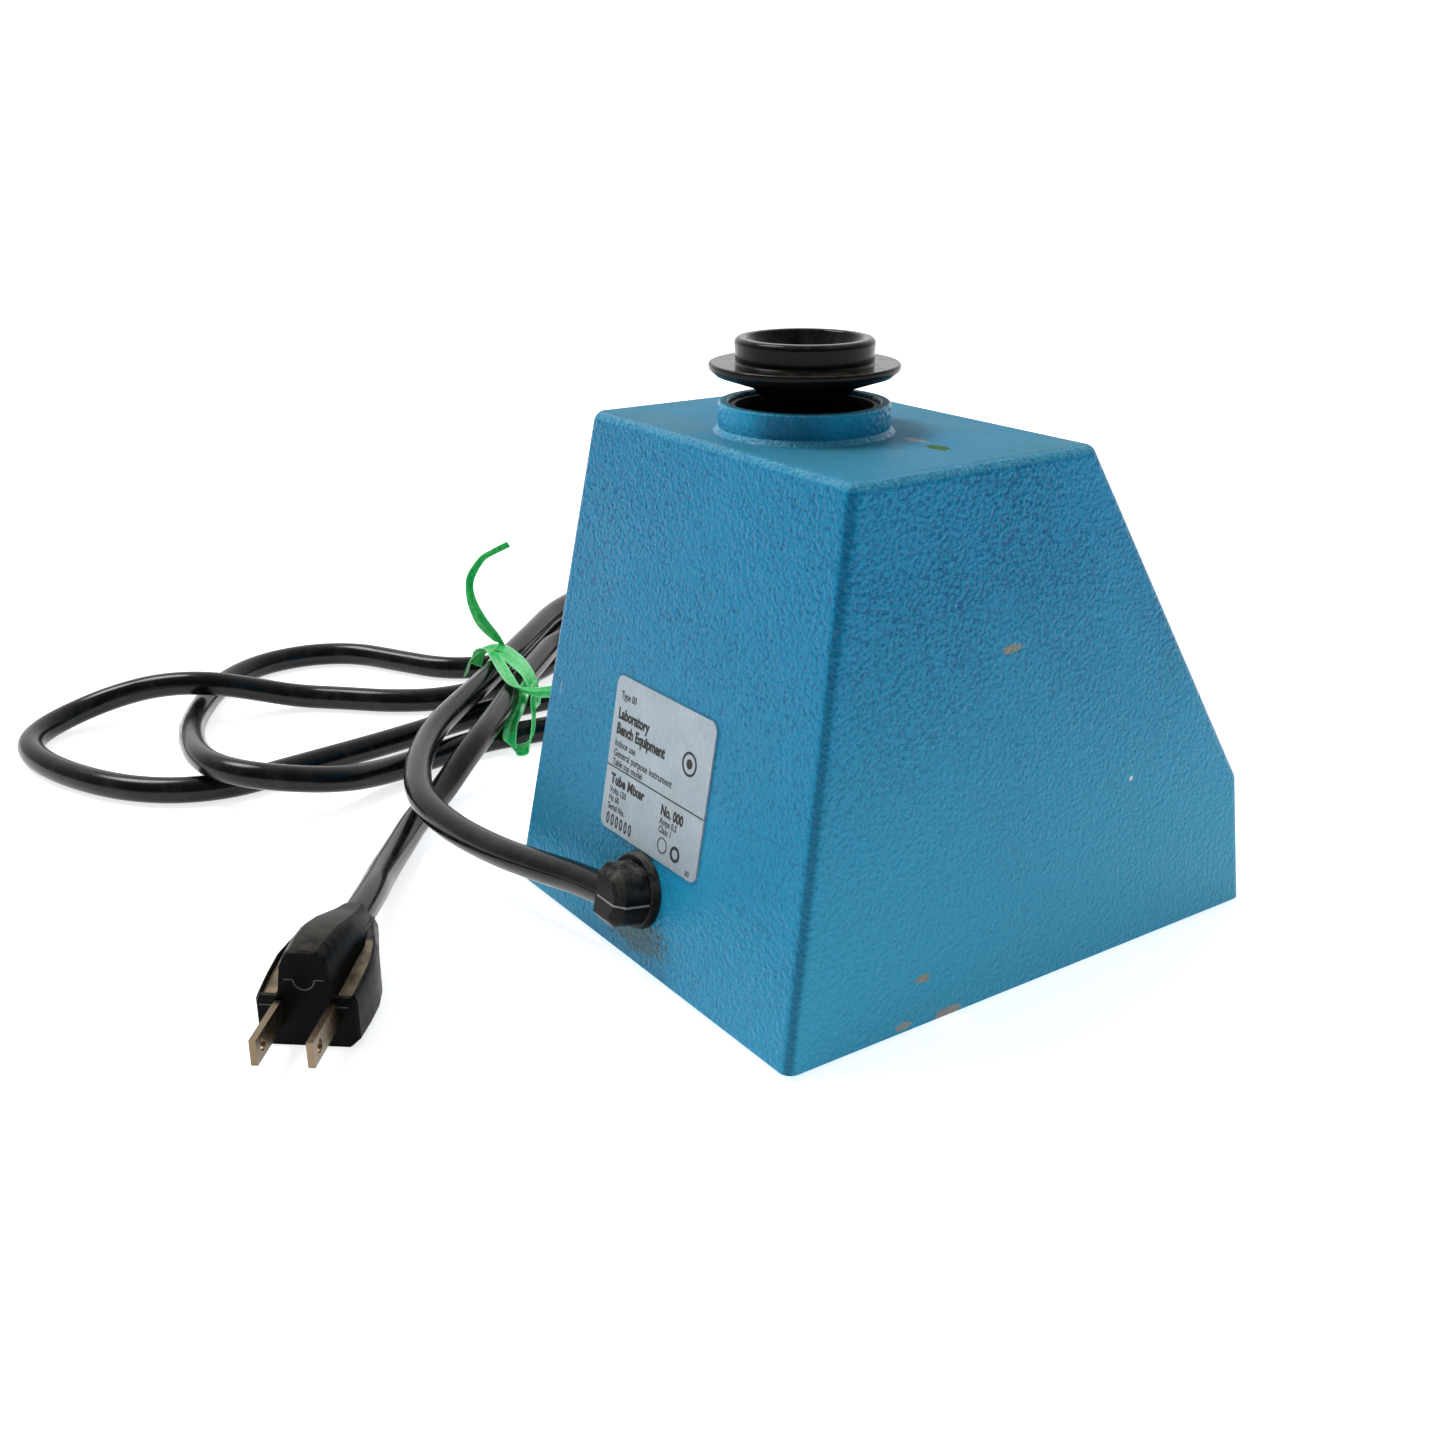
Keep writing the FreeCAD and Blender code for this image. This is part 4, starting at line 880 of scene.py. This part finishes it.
# Centre points and half-width vectors of the tie's strips, in millimetres.
TIE_STRIPS = {
    "tie_band": (
        [(203, 22, 8), (201.5, 20.5, 13), (198, 17.5, 18), (193, 13.5, 19.2), (178, 14.5, 19.0),
         (164, 17.5, 19.0), (157.5, 19, 16.5), (155.5, 18.5, 12), (158, 17, 8.8)],
        [(1.2, -1.2, 0.2), (1.2, -1.2, 0.2), (1.4, -1.5, 0.2), (1.6, -2.4, 0.3), (2.6, -3.0, 0.2),
         (2.4, -2.8, -0.2), (1.8, -2.2, 0.4), (1.2, -1.6, 0.6), (1.0, -1.2, 0.2)],
    ),
    "tie_outer_turn": (
        [(200, 19, 12), (197.5, 18.5, 17.5), (192, 17, 19.4), (181, 20, 19.6), (166, 24.5, 19.4),
         (154.5, 26.5, 18.2), (150, 22.5, 17), (150.5, 14, 15.8), (154, 5, 14.5), (160, -3, 14)],
        [(1.0, 1.2, 0.5), (1.0, 1.2, 0.5), (0.9, 1.4, 0.3), (0.5, 1.6, 0.2), (0.6, 1.6, 0.3),
         (1.4, 1.2, 0.6), (1.7, 0.2, 0.8), (1.6, -0.4, 1.0), (1.4, -0.8, 1.1), (1.2, -1.0, 1.1)],
    ),
    "tie_tail": (
        [(189, 15.5, 19.4), (193.5, 11.6, 19.8), (196, 12.7, 22.3), (200.7, 15.6, 27.6), (204.4, 16.9, 33.6),
         (206.7, 16.7, 38.7), (207.7, 15.2, 43), (207.2, 11, 48.4), (205.8, 7.3, 50.7), (203.3, 2, 53.4)],
        [(0.8, 1.2, 0.4), (1.2, 0.5, 0.5), (0.9, 0.8, -0.7), (1.1, 1.0, -1.1), (0.9, 1.0, -0.5),
         (0.6, 0.9, 0.1), (0.5, 0.9, 0.4), (0.5, 0.5, 0.5), (0.5, 0.3, 0.6), (0.5, 0.2, 0.7)],
    ),
    "tie_loop": (
        [(160, 18, 17.8), (156.5, 22.5, 16.2), (152, 27.5, 12), (148, 32, 9.6), (143.6, 35.5, 7.6),
         (141.6, 36.6, 5.0), (141.2, 35.6, 2.6), (140.2, 33.4, 2.1), (139.6, 31.2, 2.7), (140.2, 29.5, 5.0),
         (142.6, 27.2, 8.2), (148, 24, 10.8), (153, 21.5, 14.4), (157, 17, 18.0)],
        [(1.4, 0.8, 0.2), (1.5, 0.8, 0.3), (1.6, 0.5, 0.6), (1.7, 0.6, 0.4), (0.6, 1.7, 0.2),
         (0.3, 1.5, 1.0), (0.9, 0.4, 1.3), (1.2, -0.2, 1.2), (0.9, -0.3, 1.2), (0.8, -1.2, 0.9),
         (1.2, -1.3, 0.3), (1.3, -1.3, 0.4), (1.2, -1.3, 0.5), (1.1, -1.3, 0.3)],
    ),
}


def build_tie(cord):
    """Make the green ribbon tie's turns, its tail and its slack loop."""
    strips = []
    for name, (centres, edges) in TIE_STRIPS.items():
        strips.append(ribbon(name, centres, edges, cord.tie_thickness))
    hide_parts("cord_tie")
    return strips


class MIXER_OT_cord(bpy.types.Operator):
    """Lay the mains cord with its plug, its strain relief's seam and its ribbon tie"""
    bl_idname = "mixer.cord"
    bl_label = "Mains cord"

    def execute(self, context):
        sizes = context.scene.mixer_cord
        curve = bpy.data.curves.new("mains_cord", "CURVE")
        curve.dimensions = "3D"
        spline = curve.splines.new("NURBS")
        spline.points.add(len(CORD_ROUTE) - 1)
        for point, place in zip(spline.points, CORD_ROUTE):
            point.co = (*place, 1.0)
        spline.order_u = 3
        spline.use_endpoint_u = True
        spline.resolution_u = 10
        curve.bevel_depth = sizes.diameter / 2
        curve.bevel_resolution = 7
        curve.use_fill_caps = True
        cord = link("mains_cord", curve, "jacket", "base")
        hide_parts("cord_lead_in", "cord_hank", "cord_plug_lead")
        plug, moulded = build_plug()
        seam = build_bushing_seam()
        strips = build_tie(sizes)
        return {"FINISHED"}


class MIXER_OT_finishes(bpy.types.Operator):
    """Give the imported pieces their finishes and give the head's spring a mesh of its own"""
    bl_idname = "mixer.finishes"
    bl_label = "Finishes"

    def execute(self, context):
        for finish, names in NODE_FINISHES.items():
            for name in names:
                mesh = NODES[name].data
                mesh.materials.clear()
                mesh.materials.append(material(finish))
        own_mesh(NODES["press_spring"])
        return {"FINISHED"}


# ---------------------------------------------------------------- label
# Name, text, distance from the left edge, baseline above the bottom edge, letter height, weight (all in
# millimetres), narrowing and spacing.
LABEL_LINES = [
    ("label_type", "Type 00", 2.4, 33.9, 1.9, 0.03, 0.78, 1.0),
    ("label_title_1", "Laboratory", 2.2, 28.8, 2.7, 0.17, 0.8, 1.0),
    ("label_title_2", "Bench Equipment", 2.2, 24.9, 2.7, 0.17, 0.8, 1.0),
    ("label_note_1", "Indoor use", 2.2, 21.6, 1.9, 0.03, 0.8, 1.0),
    ("label_note_2", "General purpose instrument", 2.2, 19.0, 1.9, 0.03, 0.84, 1.0),
    ("label_note_3", "Table top model", 2.2, 16.7, 1.7, 0.03, 0.84, 1.0),
    ("label_kind", "Tube Mixer", 2.6, 12.0, 2.5, 0.16, 0.86, 1.05),
    ("label_volts", "Volts 120", 2.6, 9.5, 1.7, 0.03, 0.8, 1.0),
    ("label_hertz", "Hz 60", 2.6, 7.4, 1.7, 0.03, 0.8, 1.0),
    ("label_serial", "Serial No.", 2.6, 5.2, 1.7, 0.03, 0.8, 1.0),
    ("label_digits", "000000", 2.6, 1.3, 3.0, 0.10, 0.66, 1.45),
    ("label_number", "No. 000", 25.6, 11.6, 2.5, 0.15, 0.8, 1.0),
    ("label_amps", "Amps 0.5", 25.6, 9.3, 1.7, 0.03, 0.8, 1.0),
    ("label_class", "Class 1", 25.6, 7.2, 1.7, 0.03, 0.8, 1.0),
    ("label_code", "00", 38.6, 0.8, 1.3, 0.02, 0.9, 1.0),
]
LABEL_WIDTH = 43.0
LABEL_HEIGHT = 39.5
LABEL_RULE = (0.1, 16.0, LABEL_WIDTH - 0.1, 16.32)      # left, bottom, right, top
# Distance from the left edge, height above the bottom edge, outer and inner radius.
LABEL_RINGS = [(28.0, 4.3, 2.0, 1.72), (33.6, 4.1, 2.0, 1.2), (34.4, 27.0, 3.0, 2.4), (34.4, 27.0, 1.2, 0.1)]


class MIXER_OT_label(bpy.types.Operator):
    """Print the generic rating label on its plate"""
    bl_idname = "mixer.label"
    bl_label = "Rating label"

    def execute(self, context):
        place = panel_frame("nameplate", REAR_OUTWARD, Vector((-1.0, 0.0, 0.0)))
        corner = place @ Matrix.Translation((-LABEL_WIDTH / 2 * MM, -LABEL_HEIGHT / 2 * MM, 0.0))
        for name, text, x, y, height, weight, narrow, spacing in LABEL_LINES:
            lettering(name, text, corner, x * MM, y * MM, height * MM, "ink", "base",
                      weight * MM, narrow, spacing)
        printed_shape("label_rule", [rectangle(*LABEL_RULE)], corner, "ink", "base")
        marks = [sector for ring in LABEL_RINGS for sector in ring_segments(*ring)]
        printed_shape("label_marks", marks, corner, "ink", "base")
        return {"FINISHED"}


# ---------------------------------------------------------------- front controls
SLOPE_OUTWARD = Vector((0.0, -92.0, 56.3))
DIAL_SWEEP = 280.0
DIAL_NUMBERS = 10
DIAL_STEPS = 36
STEPS_PER_NUMBER = DIAL_STEPS // (DIAL_NUMBERS - 1)
NUMBER_RADIUS = 19.3
NUMBER_HEIGHT = 1.9
LONG_TICK = (14.6, 17.0, 0.18)      # inner radius, outer radius, half width
SHORT_TICK = (14.9, 15.9, 0.10)
BEZEL_MARK_PLACE = 11.9


def dial_angle(share):
    """Return the angle on the dial at a share of the scale, from its low end to its high end."""
    return math.radians(90 + DIAL_SWEEP / 2 - DIAL_SWEEP * share)


def dial_ticks():
    """Return the tick marks of the speed scale, long at each number."""
    outlines = []
    for i in range(DIAL_STEPS + 1):
        angle = dial_angle(i / DIAL_STEPS)
        inner, outer, half = SHORT_TICK if i % STEPS_PER_NUMBER else LONG_TICK
        along = Vector((math.cos(angle), math.sin(angle)))
        side = Vector((-along.y, along.x)) * half
        corners = (along * inner - side, along * outer - side, along * outer + side, along * inner + side)
        outlines.append([tuple(corner * MM) for corner in corners])
    return outlines


KNOB_FLUTES = 30
KNOB_CAP = 12.4
# Radius, height and flute depth, in millimetres, from the knob's foot to the middle of its cap.
KNOB_PROFILE = [
    (8.6, 0.5, 0.0), (12.6, 0.5, 0.0), (13.7, 0.6, 0.0), (14.0, 1.0, 0.0), (13.9, 2.2, 0.0),
    (13.2, 2.8, 0.15), (12.9, 3.4, 0.45), (12.4, 10.6, 0.45), (12.2, 11.6, 0.3), (11.6, 12.6, 0.1),
    (10.8, 13.0, 0.0), (9.6, 13.0, 0.0), (9.2, KNOB_CAP, 0.0), (4.0, KNOB_CAP, 0.0), (0.3, KNOB_CAP, 0.0),
]
POINTER = (-0.5, 4.0, 0.5, 9.0)     # left, bottom, right, top
POINTER_RELIEF = 0.0001


def build_knob(place):
    """Make the fluted knob with its pointer, which stands for the plain packed one."""
    rings = []
    count = KNOB_FLUTES * 6
    for radius, height, flute in KNOB_PROFILE:
        ring = []
        for i in range(count):
            angle = 2 * math.pi * i / count
            r = radius - flute * (0.5 - 0.5 * math.cos(KNOB_FLUTES * angle))
            ring.append(place @ (Vector((r * math.cos(angle), r * math.sin(angle), height)) * MM))
        rings.append(ring)
    knob = link("fluted_knob", loft("fluted_knob", rings), "knob_plastic", "knob")
    soften(knob, 0.0, 40)
    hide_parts("speed_knob")
    cap = place @ Matrix.Translation((0, 0, KNOB_CAP * MM))
    printed_shape("knob_pointer", [rectangle(*POINTER)], cap, "white_ink", "knob",
                  POINTER_RELIEF)


class MIXER_OT_controls(bpy.types.Operator):
    """Make the fluted knob, the dial's scale and the marks on the rocker's bezel"""
    bl_idname = "mixer.controls"
    bl_label = "Front controls"

    def execute(self, context):
        right = Vector((1.0, 0.0, 0.0))
        dial = panel_frame("dial_plate", SLOPE_OUTWARD, right)
        printed_shape("dial_ticks", dial_ticks(), dial, "ink", "base")
        for i in range(DIAL_NUMBERS):
            angle = dial_angle(i / (DIAL_NUMBERS - 1))
            x = NUMBER_RADIUS * MM * math.cos(angle)
            y = NUMBER_RADIUS * MM * math.sin(angle)
            lettering("dial_number_" + str(i + 1), str(i + 1), dial, x, y, NUMBER_HEIGHT * MM, "ink", "base",
                      0.04 * MM, 0.8, 1.0, centred=True)
        build_knob(dial)
        bezel = panel_frame("rocker_bezel", SLOPE_OUTWARD, right)
        line = rectangle(-1.6, BEZEL_MARK_PLACE - 0.15, 1.6, BEZEL_MARK_PLACE + 0.15)
        printed_shape("bezel_off_line", [line], bezel, "white_ink", "base")
        ring = ring_segments(0, -BEZEL_MARK_PLACE, 0.75, 0.5, 20)
        printed_shape("bezel_on_ring", ring, bezel, "white_ink", "base")
        return {"FINISHED"}


# ---------------------------------------------------------------- panel, registration and main
PIECE_OPERATORS = (MIXER_OT_stage, MIXER_OT_cord, MIXER_OT_finishes, MIXER_OT_label, MIXER_OT_controls)


class MIXER_PT_pieces(bpy.types.Panel):
    """Lists the mixer's pieces and settings"""
    bl_idname = "MIXER_PT_pieces"
    bl_label = "Vortex Mixer"
    bl_space_type = "VIEW_3D"
    bl_region_type = "UI"
    bl_category = "Mixer"

    def draw(self, context):
        scene = context.scene
        for operator in PIECE_OPERATORS:
            self.layout.operator(operator.bl_idname)
        for group in (scene.mixer_finish, scene.mixer_cord, scene.mixer_stage):
            box = self.layout.box()
            for name in group.bl_rna.properties.keys():
                if name not in ("rna_type", "name"):
                    box.prop(group, name)


CLASSES = (MixerFinish, MixerCord, MixerStage, *PIECE_OPERATORS, MIXER_PT_pieces)


def register():
    for item in CLASSES:
        bpy.utils.register_class(item)
    bpy.types.Scene.mixer_finish = bpy.props.PointerProperty(type=MixerFinish)
    bpy.types.Scene.mixer_cord = bpy.props.PointerProperty(type=MixerCord)
    bpy.types.Scene.mixer_stage = bpy.props.PointerProperty(type=MixerStage)


def unregister():
    del bpy.types.Scene.mixer_stage
    del bpy.types.Scene.mixer_cord
    del bpy.types.Scene.mixer_finish
    for item in reversed(CLASSES):
        bpy.utils.unregister_class(item)


def main():
    register()
    bpy.ops.mixer.stage()
    bpy.ops.mixer.cord()
    bpy.ops.mixer.finishes()
    bpy.ops.mixer.label()
    bpy.ops.mixer.controls()


if __name__ == "__main__":
    main()
